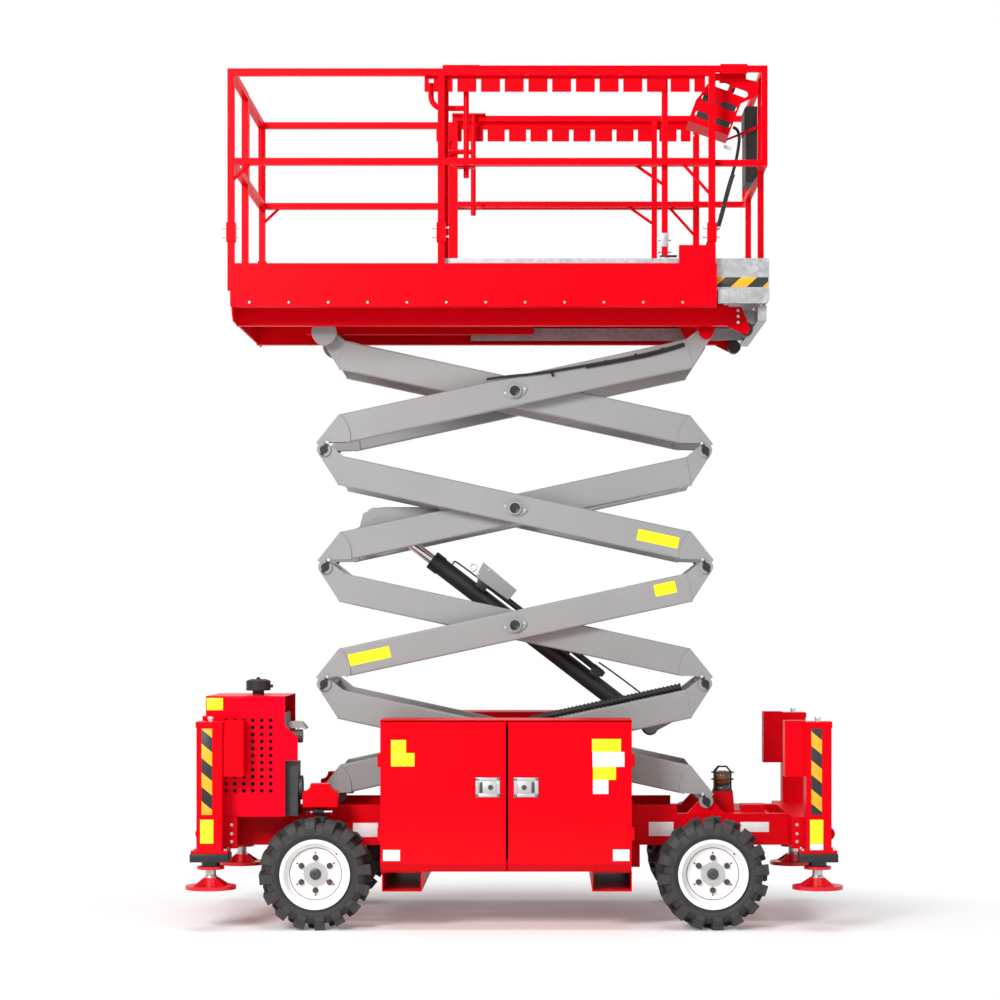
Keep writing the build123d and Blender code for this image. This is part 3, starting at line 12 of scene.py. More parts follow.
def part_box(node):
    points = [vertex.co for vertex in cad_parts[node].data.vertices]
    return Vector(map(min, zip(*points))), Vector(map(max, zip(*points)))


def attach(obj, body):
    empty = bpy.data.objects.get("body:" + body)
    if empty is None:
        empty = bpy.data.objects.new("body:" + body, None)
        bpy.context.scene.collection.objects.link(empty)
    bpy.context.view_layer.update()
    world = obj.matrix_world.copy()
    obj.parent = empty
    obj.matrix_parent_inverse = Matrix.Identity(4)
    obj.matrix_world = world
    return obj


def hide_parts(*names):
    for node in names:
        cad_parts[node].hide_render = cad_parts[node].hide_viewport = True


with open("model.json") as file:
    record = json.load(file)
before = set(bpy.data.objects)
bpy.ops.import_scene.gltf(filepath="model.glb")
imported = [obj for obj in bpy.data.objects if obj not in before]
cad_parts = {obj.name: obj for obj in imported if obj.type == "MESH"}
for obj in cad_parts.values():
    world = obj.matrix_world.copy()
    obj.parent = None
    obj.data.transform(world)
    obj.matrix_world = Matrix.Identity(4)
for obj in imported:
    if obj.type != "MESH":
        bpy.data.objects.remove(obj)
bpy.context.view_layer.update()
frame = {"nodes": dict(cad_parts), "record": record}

NEAR, FAR = -1, 1
LEFT, RIGHT = -1, 1
SIDE_NAMES = {NEAR: "near", FAR: "far"}
END_NAMES = {LEFT: "left", RIGHT: "right"}
OUTWARD = {side: Vector((0, side, 0)) for side in (NEAR, FAR)}
UP = Vector((0, 0, 1))


# ---------------------------------------------------------------- camera
def camera():
    """Level camera in front of the near side."""
    data = bpy.data.cameras.new("camera")
    data.lens = 89.7
    data.sensor_width = 36.0
    data.shift_x = -0.05
    data.shift_y = 0.12
    data.clip_end = 200.0
    obj = bpy.data.objects.new("camera", data)
    bpy.context.scene.collection.objects.link(obj)
    obj.location = (0.18, -13.16, 1.555)
    obj.rotation_euler = (math.radians(90), 0, 0)
    bpy.context.scene.camera = obj


camera()


# ---------------------------------------------------------------- the free cord
CABLE_ROUTE = [(1.110, -0.490, 4.060), (1.150, -0.490, 4.052), (1.130, -0.500, 3.900), (1.100, -0.520, 3.800),
               (1.030, -0.590, 3.537), (0.968, -0.626, 3.455), (0.955, -0.630, 3.3727)]
CABLE_R = 0.0080


def control_cable():
    """Cable from the upper control box down to the toe board."""
    data = bpy.data.curves.new("control_cable_run", "CURVE")
    data.dimensions = "3D"
    data.bevel_depth = CABLE_R
    data.bevel_resolution = 4
    data.resolution_u = 12
    data.use_fill_caps = True
    spline = data.splines.new("NURBS")
    spline.points.add(len(CABLE_ROUTE) - 1)
    for point, place in zip(spline.points, CABLE_ROUTE):
        point.co = (*place, 1)
    spline.order_u = 3
    spline.use_endpoint_u = True
    cable = bpy.data.objects.new("control_cable_run", data)
    bpy.context.scene.collection.objects.link(cable)
    return cable


cable = control_cable()


# ---------------------------------------------------------------- lamps
def soft_box(name, place, aim, size, power):
    """A square area lamp looking at a point."""
    data = bpy.data.lights.new(name, "AREA")
    data.shape = "SQUARE"
    data.size = size
    data.energy = power
    obj = bpy.data.objects.new(name, data)
    bpy.context.scene.collection.objects.link(obj)
    obj.location = place
    obj.rotation_euler = (Vector(aim) - Vector(place)).to_track_quat("-Z", "Y").to_euler()


soft_box("key", (-5.0, -9.5, 6.5), (-0.4, 0, 2.0), 3.5, 1150)
soft_box("top", (-0.5, -0.6, 9.0), (0, 0, 0), 5.0, 620)
soft_box("fill", (7.5, -8, 3.5), (0, 0, 2), 4.0, 150)


# ---------------------------------------------------------------- finishes
class Tone:
    """An output socket that adds, multiplies and compares like a number."""

    def __init__(self, nodes, socket):
        self.nodes, self.socket = nodes, socket

    def reckon(self, kind, *values):
        """One maths node on these values."""
        return self.nodes.node("Math", {"operation": kind}, dict(enumerate(values)))

    def __add__(self, other):
        return self.reckon("ADD", self, other)

    __radd__ = __add__

    def __mul__(self, other):
        return self.reckon("MULTIPLY", self, other)

    __rmul__ = __mul__

    def __sub__(self, other):
        return self.reckon("SUBTRACT", self, other)

    def __rsub__(self, other):
        return self.reckon("SUBTRACT", other, self)

    def __truediv__(self, other):
        return self.reckon("DIVIDE", self, other)

    def __rtruediv__(self, other):
        return self.reckon("DIVIDE", other, self)

    def __pow__(self, other):
        return self.reckon("POWER", self, other)

    def __abs__(self):
        return self.reckon("ABSOLUTE", self)

    def over(self, limit):
        """1 where this is above the limit, else 0."""
        return self.reckon("GREATER_THAN", self, limit)

    def wave(self):
        return self.reckon("SINE", self)

    def cycle(self):
        """The part after the decimal point, for repeats."""
        return self.reckon("FRACT", self)

    def at_least(self, limit):
        return self.reckon("MAXIMUM", self, limit)

    def at_most(self, limit):
        return self.reckon("MINIMUM", self, limit)


class Nodes:
    """A node tree that is filled by node()."""

    def __init__(self, tree):
        self.tree = tree

    def node(self, kind, settings=None, sockets=None, out=0):
        """Any node: its settings first, then its input values or links; gives back one output."""
        made = self.tree.nodes.new("ShaderNode" + kind)
        for key, value in (settings or {}).items():
            setattr(made, key, value)
        for key, value in (sockets or {}).items():
            self.feed(made.inputs[key], value)
        return Tone(self, made.outputs[out])

    def feed(self, entry, value):
        """A link where the value is a Tone, otherwise a constant on the socket."""
        if isinstance(value, Tone):
            self.tree.links.new(value.socket, entry)
        elif entry.type == "RGBA" and len(value) == 3:
            entry.default_value = (*value, 1)
        else:
            entry.default_value = value

    def show(self, output, shader):
        """Send a shader to the tree's output node."""
        self.feed(self.tree.nodes[output].inputs["Surface"], shader)

    def seen(self):
        """1 on what the camera, a mirror or glass looks at, else 0."""
        rays = ("Is Camera Ray", "Is Glossy Ray", "Is Transmission Ray")
        return sum(self.node("LightPath", out=ray) for ray in rays).at_most(1.0)


class Finish(Nodes):
    """A material that is painted by skin()."""

    def __init__(self, name):
        self.material = bpy.data.materials.new(name)
        self.material.use_nodes = True
        super().__init__(self.material.node_tree)
        self.surface = self.tree.nodes["Principled BSDF"]
        self.place = self.node("TexCoord", out="Object")

    def axis(self, letter):
        """One of the object's coordinates."""
        return self.node("SeparateXYZ", sockets={0: self.place}, out=letter)

    def noise(self, size, detail=3.0, stretch=(1, 1, 1)):
        """Soft noise from 0 to 1 with features about this many metres across."""
        spot = self.node("Mapping", sockets={"Vector": self.place, "Scale": stretch})
        return self.node("TexNoise", sockets={"Vector": spot, "Scale": 1 / size, "Detail": detail})

    def blend(self, share, low, high):
        """A colour between two, by a share from 0 to 1."""
        return self.node("Mix", {"data_type": "RGBA"}, {0: share, 6: low, 7: high}, out=2)

    def bump(self, height, strength, depth):
        """A bump whose full height is depth metres."""
        return self.node("Bump", sockets={"Height": height, "Strength": strength, "Distance": depth},
                         out="Normal")

    def skin(self, **entries):
        """Inputs of the surface, with an underscore for each space."""
        for key, value in entries.items():
            self.feed(self.surface.inputs[key.replace("_", " ")], value)
        return self.material


RED = (0.70, 0.0, 0.006)


def shade(colour, factor):
    """A colour made darker or lighter."""
    return tuple(min(1.0, part * factor) for part in colour)


def gloss_paint(name, colour, rough=0.34, cloud=0.05):
    """Sprayed enamel: faint clouding, orange peel and a little dust near the ground."""
    finish = Finish(name)
    patch = finish.noise(0.35, 2)
    dust = (finish.noise(0.05, 4) * (0.55 - finish.axis("Z"))).at_least(0.0)
    tint = finish.blend(patch, shade(colour, 1 - cloud), shade(colour, 1 + cloud))
    tint = finish.blend(dust * 0.25, tint, (0.16, 0.12, 0.10))
    peel = finish.noise(0.004, 1)
    return finish.skin(Base_Color=tint, Roughness=patch * 0.10 + dust * 0.4 + rough, Specular_IOR_Level=0.05,
                       Normal=finish.bump(peel, 0.12, 0.0006))


def powder_coat(name, colour, rough=0.5, grain=0.0016, strength=0.25):
    """Satin coat with a fine grain."""
    finish = Finish(name)
    patch = finish.noise(0.22, 3)
    speck = finish.noise(grain, 2)
    tint = finish.blend(patch * 0.6 + speck * 0.4, shade(colour, 0.88), shade(colour, 1.10))
    return finish.skin(Base_Color=tint, Roughness=patch * 0.12 + rough, Specular_IOR_Level=0.3,
                       Normal=finish.bump(speck, strength, 0.0005))


def zinc_plate(name, tone=0.42, rough=0.36):
    """Galvanised sheet with its crystal spangle."""
    finish = Finish(name)
    crystal = finish.node("TexVoronoi", sockets={"Vector": finish.place, "Scale": 55.0}, out="Color")
    level = finish.node("SeparateColor", sockets={0: crystal}, out="Red")
    stain = finish.noise(0.12, 4)
    mixed = level * 0.35 + stain * 0.65
    tint = finish.blend(mixed, shade((0.62, 0.63, 0.65), tone), shade((1.25, 1.26, 1.28), tone))
    return finish.skin(Base_Color=tint, Metallic=0.85, Roughness=mixed * 0.2 + rough,
                       Normal=finish.bump(level, 0.08, 0.0008))


def bright_steel(name, tone=0.62, rough=0.22, along=(1, 1, 1), metal=1.0):
    """Machined or polished steel with fine tool marks."""
    finish = Finish(name)
    marks = finish.noise(0.003, 3, along)
    patch = finish.noise(0.06, 2)
    tint = finish.blend(marks * 0.5 + patch * 0.5, (tone * 0.8,) * 3, (tone * 1.15,) * 3)
    return finish.skin(Base_Color=tint, Metallic=metal, Roughness=patch * 0.12 + rough,
                       Normal=finish.bump(marks, 0.05, 0.0004))


def moulded(name, colour, rough=0.45):
    """Moulded plastic or rubber with a fine leather-like grain."""
    finish = Finish(name)
    grain = finish.node("TexVoronoi", sockets={"Vector": finish.place, "Scale": 700.0}, out="Distance")
    patch = finish.noise(0.09, 3)
    tint = finish.blend(patch, shade(colour, 0.8), shade(colour, 1.25))
    return finish.skin(Base_Color=tint, Roughness=patch * 0.15 + rough, Specular_IOR_Level=0.3,
                       Normal=finish.bump(grain, 0.15, 0.0004))


def rough_casting(name):
    """Painted cast iron of the engine, a little oily."""
    finish = Finish(name)
    lump = finish.noise(0.012, 5)
    oil = finish.noise(0.10, 3)
    tint = finish.blend(oil, (0.010, 0.010, 0.011), (0.055, 0.052, 0.050))
    return finish.skin(Base_Color=tint, Roughness=oil * 0.35 + 0.3, Normal=finish.bump(lump, 0.5, 0.003))


def wheel_circle(finish):
    """Distance from the nearest wheel's axle, the same for all four wheels."""
    wheel_low, wheel_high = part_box("rim_near_right")
    centre = (wheel_low + wheel_high) / 2
    out = abs(finish.axis("X")) - centre.x
    rise = finish.axis("Z") - centre.z
    return (out * out + rise * rise) ** 0.5


def tyre_rubber():
    """Tread rubber: dusty between the lugs, with fine rings on the side walls."""
    finish = Finish("tyre_rubber")
    radius = wheel_circle(finish)
    dust = finish.noise(0.03, 5)
    patch = finish.noise(0.2, 2)
    low = 1 - ((radius - 0.262) * 60).at_most(1.0).at_least(0.0)
    tint = finish.blend(patch * 0.4 + dust * low * 0.5, (0.012, 0.012, 0.013), (0.050, 0.049, 0.046))
    rings = (radius * 1100).wave() * (0.235 - radius).over(0.0)
    return finish.skin(Base_Color=tint, Roughness=dust * 0.2 + 0.6,
                       Normal=finish.bump(rings * 0.5 + dust, 0.45, 0.0009))


def rim_enamel():
    """White wheel enamel, with a bare machined hub and a dark line where the disc is let in."""
    finish = Finish("rim_enamel")
    radius = wheel_circle(finish)
    hub = (0.0605 - radius).over(0.0)
    line = (0.0022 - abs(radius - 0.1305)).over(0.0)
    cloud = finish.noise(0.12, 2)
    dirt = finish.noise(0.03, 4) * (radius - 0.145).over(0.0)
    paint = finish.blend(cloud * 0.3 + dirt * 0.25, (0.88, 0.88, 0.87), (0.70, 0.69, 0.67))
    paint = finish.blend(line, paint, (0.12, 0.12, 0.12))
    turned = finish.noise(0.004, 3)
    steel = finish.blend(turned, (0.42, 0.41, 0.40), (0.62, 0.61, 0.60))
    return finish.skin(Base_Color=finish.blend(hub, paint, steel), Metallic=hub * 0.7,
                       Roughness=cloud * 0.1 + 0.32, Coat_Weight=0.2,
                       Normal=finish.bump(turned, 0.06, 0.0006))


def jack_finish():
    """Red foot and ring, bare ball and grey-black leg, changing with height."""
    finish = Finish("jack_finish")
    height = finish.axis("Z")
    cloud = finish.noise(0.07, 3)
    foot = (0.262 - height).over(0.0)
    ring = (0.0085 - abs(height - 0.3115)).over(0.0)
    ball = (0.3015 - height).over(0.0) * (1 - foot)
    red = finish.blend(cloud, (0.60, 0.0, 0.010), (0.76, 0.0, 0.014))
    dark = finish.blend(cloud, (0.010, 0.010, 0.010), (0.030, 0.030, 0.030))
    tint = finish.blend((foot + ring).at_most(1.0), dark, red)
    tint = finish.blend(ball, tint, (0.55, 0.55, 0.55))
    return finish.skin(Base_Color=tint, Metallic=ball * 0.9, Roughness=cloud * 0.15 + 0.3,
                       Normal=finish.bump(finish.noise(0.004, 2), 0.1, 0.0005))


def post_enamel():
    """Red post under a black wire cage."""
    finish = Finish("post_enamel")
    wires = (finish.axis("Z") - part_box("beacon")[0].z + 0.002).over(0.0)
    cloud = finish.noise(0.1, 2)
    red = finish.blend(cloud, shade(RED, 0.80), shade(RED, 0.90))
    black = finish.blend(cloud, (0.010, 0.010, 0.010), (0.018, 0.018, 0.018))
    return finish.skin(Base_Color=finish.blend(wires, red, black), Roughness=cloud * 0.1 + 0.34,
                       Specular_IOR_Level=0.1, Normal=finish.bump(finish.noise(0.004, 1), 0.1, 0.0005))


def spiral_sleeve():
    """Black sleeve wound round the cable, its turns as ridges, with painted shade between the turns and a
    painted highlight on their crests.
    """
    finish = Finish("spiral_sleeve")
    turns = (finish.axis("Z") * 520 + finish.axis("X") * 160).wave()
    shine = finish.noise(0.01, 2)
    # colour follows the ridges: painted shade between the turns, painted highlight on their crests
    tint = finish.blend(turns * 0.5 + 0.5, (0.004, 0.004, 0.004), (0.035, 0.035, 0.035))
    return finish.skin(Base_Color=tint, Roughness=shine * 0.2 + 0.32, Normal=finish.bump(turns, 0.9, 0.0025))


def amber_lens():
    """Ribbed amber plastic over a dark bulb, on a black base, with a painted glow in patches and a painted
    highlight on each rib.
    """
    finish = Finish("amber_lens")
    low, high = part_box("beacon")
    across = finish.axis("X") - (low.x + high.x) / 2
    deep = finish.axis("Y") - (low.y + high.y) / 2
    ribs = (across.reckon("ARCTAN2", across, deep) * 36).wave()
    base = (low.z + 0.037 - finish.axis("Z")).over(0.0)
    # glow is a painted glow: lighter patches in the lens colour, also used for its gloss
    glow = finish.noise(0.02, 2)
    # lens colour: painted glow in patches, and a painted highlight on each rib's crest
    lens = finish.blend(glow * 0.5 + ribs * 0.15, (0.09, 0.026, 0.003), (0.36, 0.11, 0.012))
    tint = finish.blend(base, lens, (0.015, 0.015, 0.015))
    return finish.skin(Base_Color=tint, Roughness=glow * 0.1 + 0.12, Coat_Weight=0.6,
                       Normal=finish.bump(ribs, 0.5, 0.0015))


def hazard_film(name, lean, period, shift=0.0):
    """Orange-yellow film with black diagonal bars."""
    finish = Finish(name)
    run = (finish.axis("Z") + finish.axis("X") * lean) / period + shift
    bars = (run.cycle() - 0.5).over(0.0)
    scuff = finish.noise(0.02, 4)
    yellow = finish.blend(scuff, (0.86, 0.36, 0.004), (0.92, 0.44, 0.010))
    return finish.skin(Base_Color=finish.blend(bars, yellow, (0.012, 0.012, 0.012)),
                       Roughness=scuff * 0.2 + 0.35, Normal=finish.bump(scuff, 0.04, 0.0003))


def printed_film(name, colour):
    """Plain vinyl film, a little uneven in gloss."""
    finish = Finish(name)
    cloud = finish.noise(0.03, 3)
    return finish.skin(Base_Color=finish.blend(cloud, shade(colour, 0.93), shade(colour, 1.03)),
                       Roughness=cloud * 0.15 + 0.34, Normal=finish.bump(cloud, 0.03, 0.0003))


FINISHES = {
    "red_paint": gloss_paint("red_enamel", RED),
    # The hood's red is a lighter, glossier copy of the red enamel: painted light where the lamps fall on the
    # engine end.
    "hood_paint_painted_light": gloss_paint("hood_enamel_painted_light", (0.82, 0.0, 0.014), 0.26),
    "grey_paint": powder_coat("grey_arm_coat", (0.30, 0.30, 0.30), 0.38, 0.0030, 0.12),
    "black_paint": powder_coat("black_coat", (0.020, 0.020, 0.021), 0.36),
    "white_paint": rim_enamel(),
    "galvanised": zinc_plate("galvanised_sheet"),
    "chrome": bright_steel("hard_chrome", 0.72, 0.10),
    "cast_block": rough_casting("engine_casting"),
    "tyre_rubber": tyre_rubber(),
    "amber": amber_lens(),
    "black_plastic": moulded("black_moulding", (0.022, 0.022, 0.023)),
    "black_rubber": moulded("cable_rubber", (0.016, 0.016, 0.016), 0.5),
    "jack": jack_finish(),
    "zinc_bolt": bright_steel("zinc_bolt", 0.66, 0.28),
    "latch_steel": bright_steel("satin_latch", 0.58, 0.30, (1, 1, 8), 0.9),
    "dark_steel": bright_steel("dark_steel", 0.10, 0.36),
    "white_film": printed_film("white_film", (0.86, 0.86, 0.86)),
    "yellow_film": printed_film("yellow_film", (0.95, 0.87, 0.0)),
    "red_dot": printed_film("stud_mark", (0.60, 0.0, 0.01)),
    "leg_hazard": hazard_film("leg_hazard_film", 0.83, 0.144),
    "deck_hazard": hazard_film("deck_hazard_film", -0.92, 0.147, 0.35),
    "post_paint": post_enamel(),
    "sleeve": spiral_sleeve(),
    "hood_inside": powder_coat("hood_inside_grey", (0.30, 0.29, 0.28), 0.4),
}
# The engine cover and its grille take the hood's lighter red, which is painted light.
NODE_FINISH = {"engine_cover": "hood_paint_painted_light", "engine_grille": "hood_paint_painted_light", "beacon_guard": "post_paint"}


def finish_frame():
    """Give every carried-over node the finish of its slot."""
    for row in frame["record"]["subparts"]:
        node, slot = row["node"], row["material_slot"]
        finish = NODE_FINISH.get(node, "jack" if node.startswith("jack") else slot)
        shell = frame["nodes"][node]
        shell.data.materials.clear()
        shell.data.materials.append(FINISHES[finish])


finish_frame()


# ---------------------------------------------------------------- modelling
def clear_pick():
    """Object mode with nothing selected."""
    if bpy.context.object and bpy.context.object.mode != "OBJECT":
        bpy.ops.object.mode_set(mode="OBJECT")
    bpy.ops.object.select_all(action="DESELECT")


def pick(*objs):
    """Select these and nothing else; the first is active."""
    clear_pick()
    for obj in objs:
        obj.select_set(True)
    bpy.context.view_layer.objects.active = objs[0]


def settle(obj):
    """Put the object's place into its mesh."""
    pick(obj)
    bpy.ops.object.transform_apply(location=True, rotation=True, scale=True)
    return obj


def bevelled(obj, width, segments=2):
    """Round the sharp edges."""
    pick(obj)
    soft = obj.modifiers.new("rounding", "BEVEL")
    soft.width, soft.segments = width, segments
    soft.limit_method, soft.angle_limit = "ANGLE", math.radians(40)
    bpy.ops.object.modifier_apply(modifier=soft.name)
    bpy.ops.object.shade_smooth_by_angle(angle=math.radians(35))
    return obj


def bar(x, y, z, rounding=0.001):
    """A bar between (low, high) pairs with rounded edges."""
    clear_pick()
    spans = [sorted(pair) for pair in (x, y, z)]
    bpy.ops.mesh.primitive_cube_add(size=1, location=[sum(pair) / 2 for pair in spans])
    obj = bpy.context.object
    obj.scale = [high - low for low, high in spans]
    return bevelled(settle(obj), rounding)


def turned(*steps, sides=24, rounding=0.0):
    """A piece turned about +Z from (radius, height) steps, starting on its lowest face."""
    clear_pick()
    radius, height = steps[0]
    bpy.ops.mesh.primitive_circle_add(vertices=sides, radius=radius, fill_type="NGON",
                                      location=(0, 0, height))
    obj = settle(bpy.context.object)
    bpy.ops.object.mode_set(mode="EDIT")
    bpy.ops.mesh.select_all(action="SELECT")
    for next_radius, next_height in steps[1:]:
        bpy.ops.mesh.extrude_region_move(TRANSFORM_OT_translate={"value": (0, 0, next_height - height)})
        if next_radius != radius:
            grow = next_radius / radius
            bpy.ops.transform.resize(value=(grow, grow, 1), center_override=(0, 0, next_height))
        radius, height = next_radius, next_height
    bpy.ops.mesh.select_all(action="SELECT")
    bpy.ops.mesh.normals_make_consistent(inside=False)
    bpy.ops.object.mode_set(mode="OBJECT")
    if rounding:
        return bevelled(obj, rounding, 2)
    bpy.ops.object.shade_smooth_by_angle(angle=math.radians(35))
    return obj


def sheet_cut(outline, thick, rounding=0.0005):
    """A plate of this outline (x, z), standing across Y from 0 to -thick."""
    clear_pick()
    data = bpy.data.curves.new("cut", "CURVE")
    data.dimensions, data.fill_mode = "2D", "BOTH"
    data.extrude = thick / 2 - rounding
    data.bevel_depth, data.bevel_resolution, data.offset = rounding, 1, -rounding
    spline = data.splines.new("POLY")
    spline.points.add(len(outline) - 1)
    for point, (x, z) in zip(spline.points, outline):
        point.co = (x, z, 0, 1)
    spline.use_cyclic_u = True
    obj = bpy.data.objects.new("cut", data)
    bpy.context.scene.collection.objects.link(obj)
    pick(obj)
    bpy.ops.object.convert(target="MESH")
    obj = bpy.context.object
    obj.rotation_euler = (math.radians(90), 0, 0)
    obj.location = (0, -thick / 2, 0)
    settle(obj)
    bpy.ops.object.mode_set(mode="EDIT")
    bpy.ops.mesh.select_all(action="SELECT")
    bpy.ops.mesh.remove_doubles(threshold=0.00005)
    bpy.ops.mesh.normals_make_consistent(inside=False)
    bpy.ops.object.mode_set(mode="OBJECT")
    return obj


def hose(points, radius, smooth=True):
    """A round hose or wire along points."""
    data = bpy.data.curves.new("hose", "CURVE")
    data.dimensions, data.bevel_depth = "3D", radius
    data.bevel_resolution, data.resolution_u, data.use_fill_caps = 3, 6, True
    spline = data.splines.new("NURBS" if smooth else "POLY")
    spline.points.add(len(points) - 1)
    for point, place in zip(spline.points, points):
        point.co = (*place, 1)
    if smooth:
        spline.order_u, spline.use_endpoint_u = min(3, len(points)), True
    obj = bpy.data.objects.new("hose", data)
    bpy.context.scene.collection.objects.link(obj)
    pick(obj)
    bpy.ops.object.convert(target="MESH")
    bpy.ops.object.shade_smooth()
    return bpy.context.object


def placed(place, facing=OUTWARD[NEAR], turn=0.0):
    """A matrix that sets a piece made about +Z at a place, facing along a direction."""
    turned_way = Vector(facing).to_track_quat("Z", "Y").to_matrix().to_4x4()
    return Matrix.Translation(Vector(place)) @ turned_way @ Matrix.Rotation(turn, 4, "Z")


def copies(master, spots):
    """The master and its copies set at each matrix, each with its own mesh, joined into one."""
    made = []
    for spot in spots:
        copy = master.copy()
        copy.data = master.data.copy()
        bpy.context.scene.collection.objects.link(copy)
        copy.matrix_world = spot
        made.append(settle(copy))
    bpy.data.objects.remove(master)
    return joined(made)


def joined(objs):
    """Several pieces as one."""
    pick(*objs)
    if len(objs) > 1:
        bpy.ops.object.join()
    return bpy.context.object


def mirrored(obj, side):
    """The piece for the near side, or its mirror image for the far side."""
    if side == FAR:
        pick(obj)
        obj.scale = (1, -1, 1)
        settle(obj)
        bpy.ops.object.mode_set(mode="EDIT")
        bpy.ops.mesh.select_all(action="SELECT")
        bpy.ops.mesh.normals_make_consistent(inside=False)
        bpy.ops.object.mode_set(mode="OBJECT")
    return obj


def standing(obj, y):
    """A plate from sheet_cut, with its front moved to y."""
    obj.location.y = y
    return settle(obj)


def fitted(name, obj, body, finish):
    """Name a finished piece, give it its finish and its slot, and let it ride on a body."""
    obj.name = obj.data.name = name
    obj.data.materials.clear()
    obj.data.materials.append(FINISHES[finish])
    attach(obj, body)
    return obj


def hex_bolt(size, height):
    """A hexagon head on its washer, standing on z = 0."""
    washer = turned((size * 1.1, -0.0005), (size * 1.1, 0.0012), sides=20)
    head = turned((size * 0.86, 0.0010), (size, 0.0018), (size, height * 0.8), (size * 0.84, height), sides=6)
    return joined([washer, head])


def cap_bolt(size, height):
    """A round button head with its socket."""
    return turned((size, -0.0005), (size, height * 0.45), (size * 0.8, height), (size * 0.42, height),
                  (size * 0.42, height * 0.5), sides=16)


def bolts(spots, head, size, height):
    """One kind of bolt set at each matrix."""
    return copies(head(size, height), spots)


def both_sides(name, body, finish, make, *sizes):
    """What make gives for the near side, and its mirror image; {} stands for the side's name."""
    for side in (NEAR, FAR):
        word = SIDE_NAMES[side]
        fitted(name.format(word), mirrored(make(*sizes), side), body.format(word), finish)


# ---------------------------------------------------------------- places from the frame
joints = {row["name"]: row for row in frame["record"]["behaviour"]["joints"]}
HINGE = Vector(joints["lift"]["pos_m"])
LEVELS = 4
RISE = (joints["platform_hinge"]["pos_m"][2] - HINGE.z) / LEVELS
ARM_L = math.hypot(RISE, 2 * HINGE.x)
TUBE_BEND = math.radians(4.8)  # between an arm's tube and the line through its end pins
LEAN = math.atan2(RISE, 2 * HINGE.x) - TUBE_BEND
TIP = (ARM_L / 2 * math.cos(TUBE_BEND), ARM_L / 2 * math.sin(TUBE_BEND))
ARM_FACE = {"outer": 0.345, "inner": 0.270}  # distance of the tubes' outside from the middle
CHEEK_FACE = {"outer": 0.353, "inner": 0.278}  # and of the cheek plates' outside
ALONG_X = (1, 0, 0)


def arm_heading(kind, level):
    """1 where an arm rises to the right, -1 where it rises to the left."""
    return (-1) ** level * (1 if kind == "outer" else -1)


def in_arm(kind, level, along, up):
    """(x, z) of a point given along and above an arm's tube, from its middle."""
    x = along * math.cos(LEAN) - up * math.sin(LEAN)
    z = along * math.sin(LEAN) + up * math.cos(LEAN)
    return arm_heading(kind, level) * x, HINGE.z + (level - 0.5) * RISE + z


def arm_body(kind, level):
    """Name of an arm's body."""
    return "arm_%d_%s" % (level, kind)


def on_circle(radius, turns):
    """Points of a circle about the origin, at these angles."""
    return [(radius * math.cos(turn), radius * math.sin(turn)) for turn in turns]


def steps_round(count, start=0.0):
    """Angles of this many equal steps, the first a share of a step past zero."""
    return [2 * math.pi * (i + start) / count for i in range(count)]


# ---------------------------------------------------------------- films and plates
DOOR_FACE = abs(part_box("door_near_left")[0].y)
FILM_SET_BACK = 0.0032  # a door film's back, behind the foremost face of the door
DOOR_FILMS = [  # door, finish, x span, z span
    ("left", "yellow_film", (-0.615, -0.540), (0.890, 0.955)),
    ("left", "yellow_film", (-0.615, -0.4975), (0.8225, 0.8895)),
    ("left", "white_film", (-0.655, -0.570), (0.350, 0.405)),
    ("right", "yellow_film", (0.390, 0.535), (0.8955, 0.960)),
    ("right", "white_film", (0.3925, 0.5525), (0.8205, 0.8950)),
    ("right", "yellow_film", (0.395, 0.510), (0.7555, 0.820)),
    ("right", "white_film", (0.395, 0.4725), (0.685, 0.755)),
    ("right", "white_film", (0.495, 0.5775), (0.350, 0.4075)),
]
FRAME_FACE, LEG_FACE, HOOD_FACE, CHANNEL_FACE = 0.360, 0.6985, 0.560, 0.650
FRAME_FILMS = [  # x span, z span
    ((-0.832, -0.703), (0.4405, 0.5124)),
    ((0.6875, 0.8143), (0.4456, 0.5175)),
    ((1.1584, 1.3048), (0.4661, 0.5175)),
]
LEG_X, LEG_Y = 1.525, 0.635
LEG_FILM_SHIFT = -0.0115  # the films' middle beside the leg's
LEG_FILMS = [  # name, finish, half width, z span
    ("hazard", "leg_hazard", 0.0265, (0.5805, 1.0115)),
    ("film", "yellow_film", 0.033, (0.437, 0.556)),
    ("plate", "white_film", 0.033, (0.404, 0.435)),
]
ARM_FILMS = [  # level, name, middle along and above the tube, half length, half height
    (2, "a", (-0.765, 0.004), 0.108, 0.030),
    (3, "a", (-0.752, 0.002), 0.108, 0.029),
    (2, "b", (0.795, 0.020), 0.056, 0.031),
]


def film(x, z, y):
    """A thin plate of film on a near face that looks along Y."""
    return bar(x, (-y, -y - 0.0010), z, 0.0004)


def door_films():
    """Blank safety films of the cabinet doors."""
    back = DOOR_FACE - FILM_SET_BACK
    for number, (end, finish, x, z) in enumerate(DOOR_FILMS):
        both_sides("door_film_{}_%d" % number, "door_{}_" + end, finish, film, x, z, back)


def chassis_films():
    """Blank films on the frame, the legs and the hood."""
    for number, (x, z) in enumerate(FRAME_FILMS):
        both_sides("frame_film_{}_%d" % number, "chassis", "white_film", film, x, z, FRAME_FACE)
    for end in (LEFT, RIGHT):
        middle = end * LEG_X + LEG_FILM_SHIFT
        for name, finish, half, z in LEG_FILMS:
            if name == "plate" and end == LEFT:
                continue
            both_sides("leg_%s_{}_%s" % (name, END_NAMES[end]), "chassis", finish,
                       film, (middle - half, middle + half), z, LEG_FACE)
    fitted("hood_film", film((-1.556, -1.4737), (1.0985, 1.1607), HOOD_FACE), "chassis", "yellow_film")


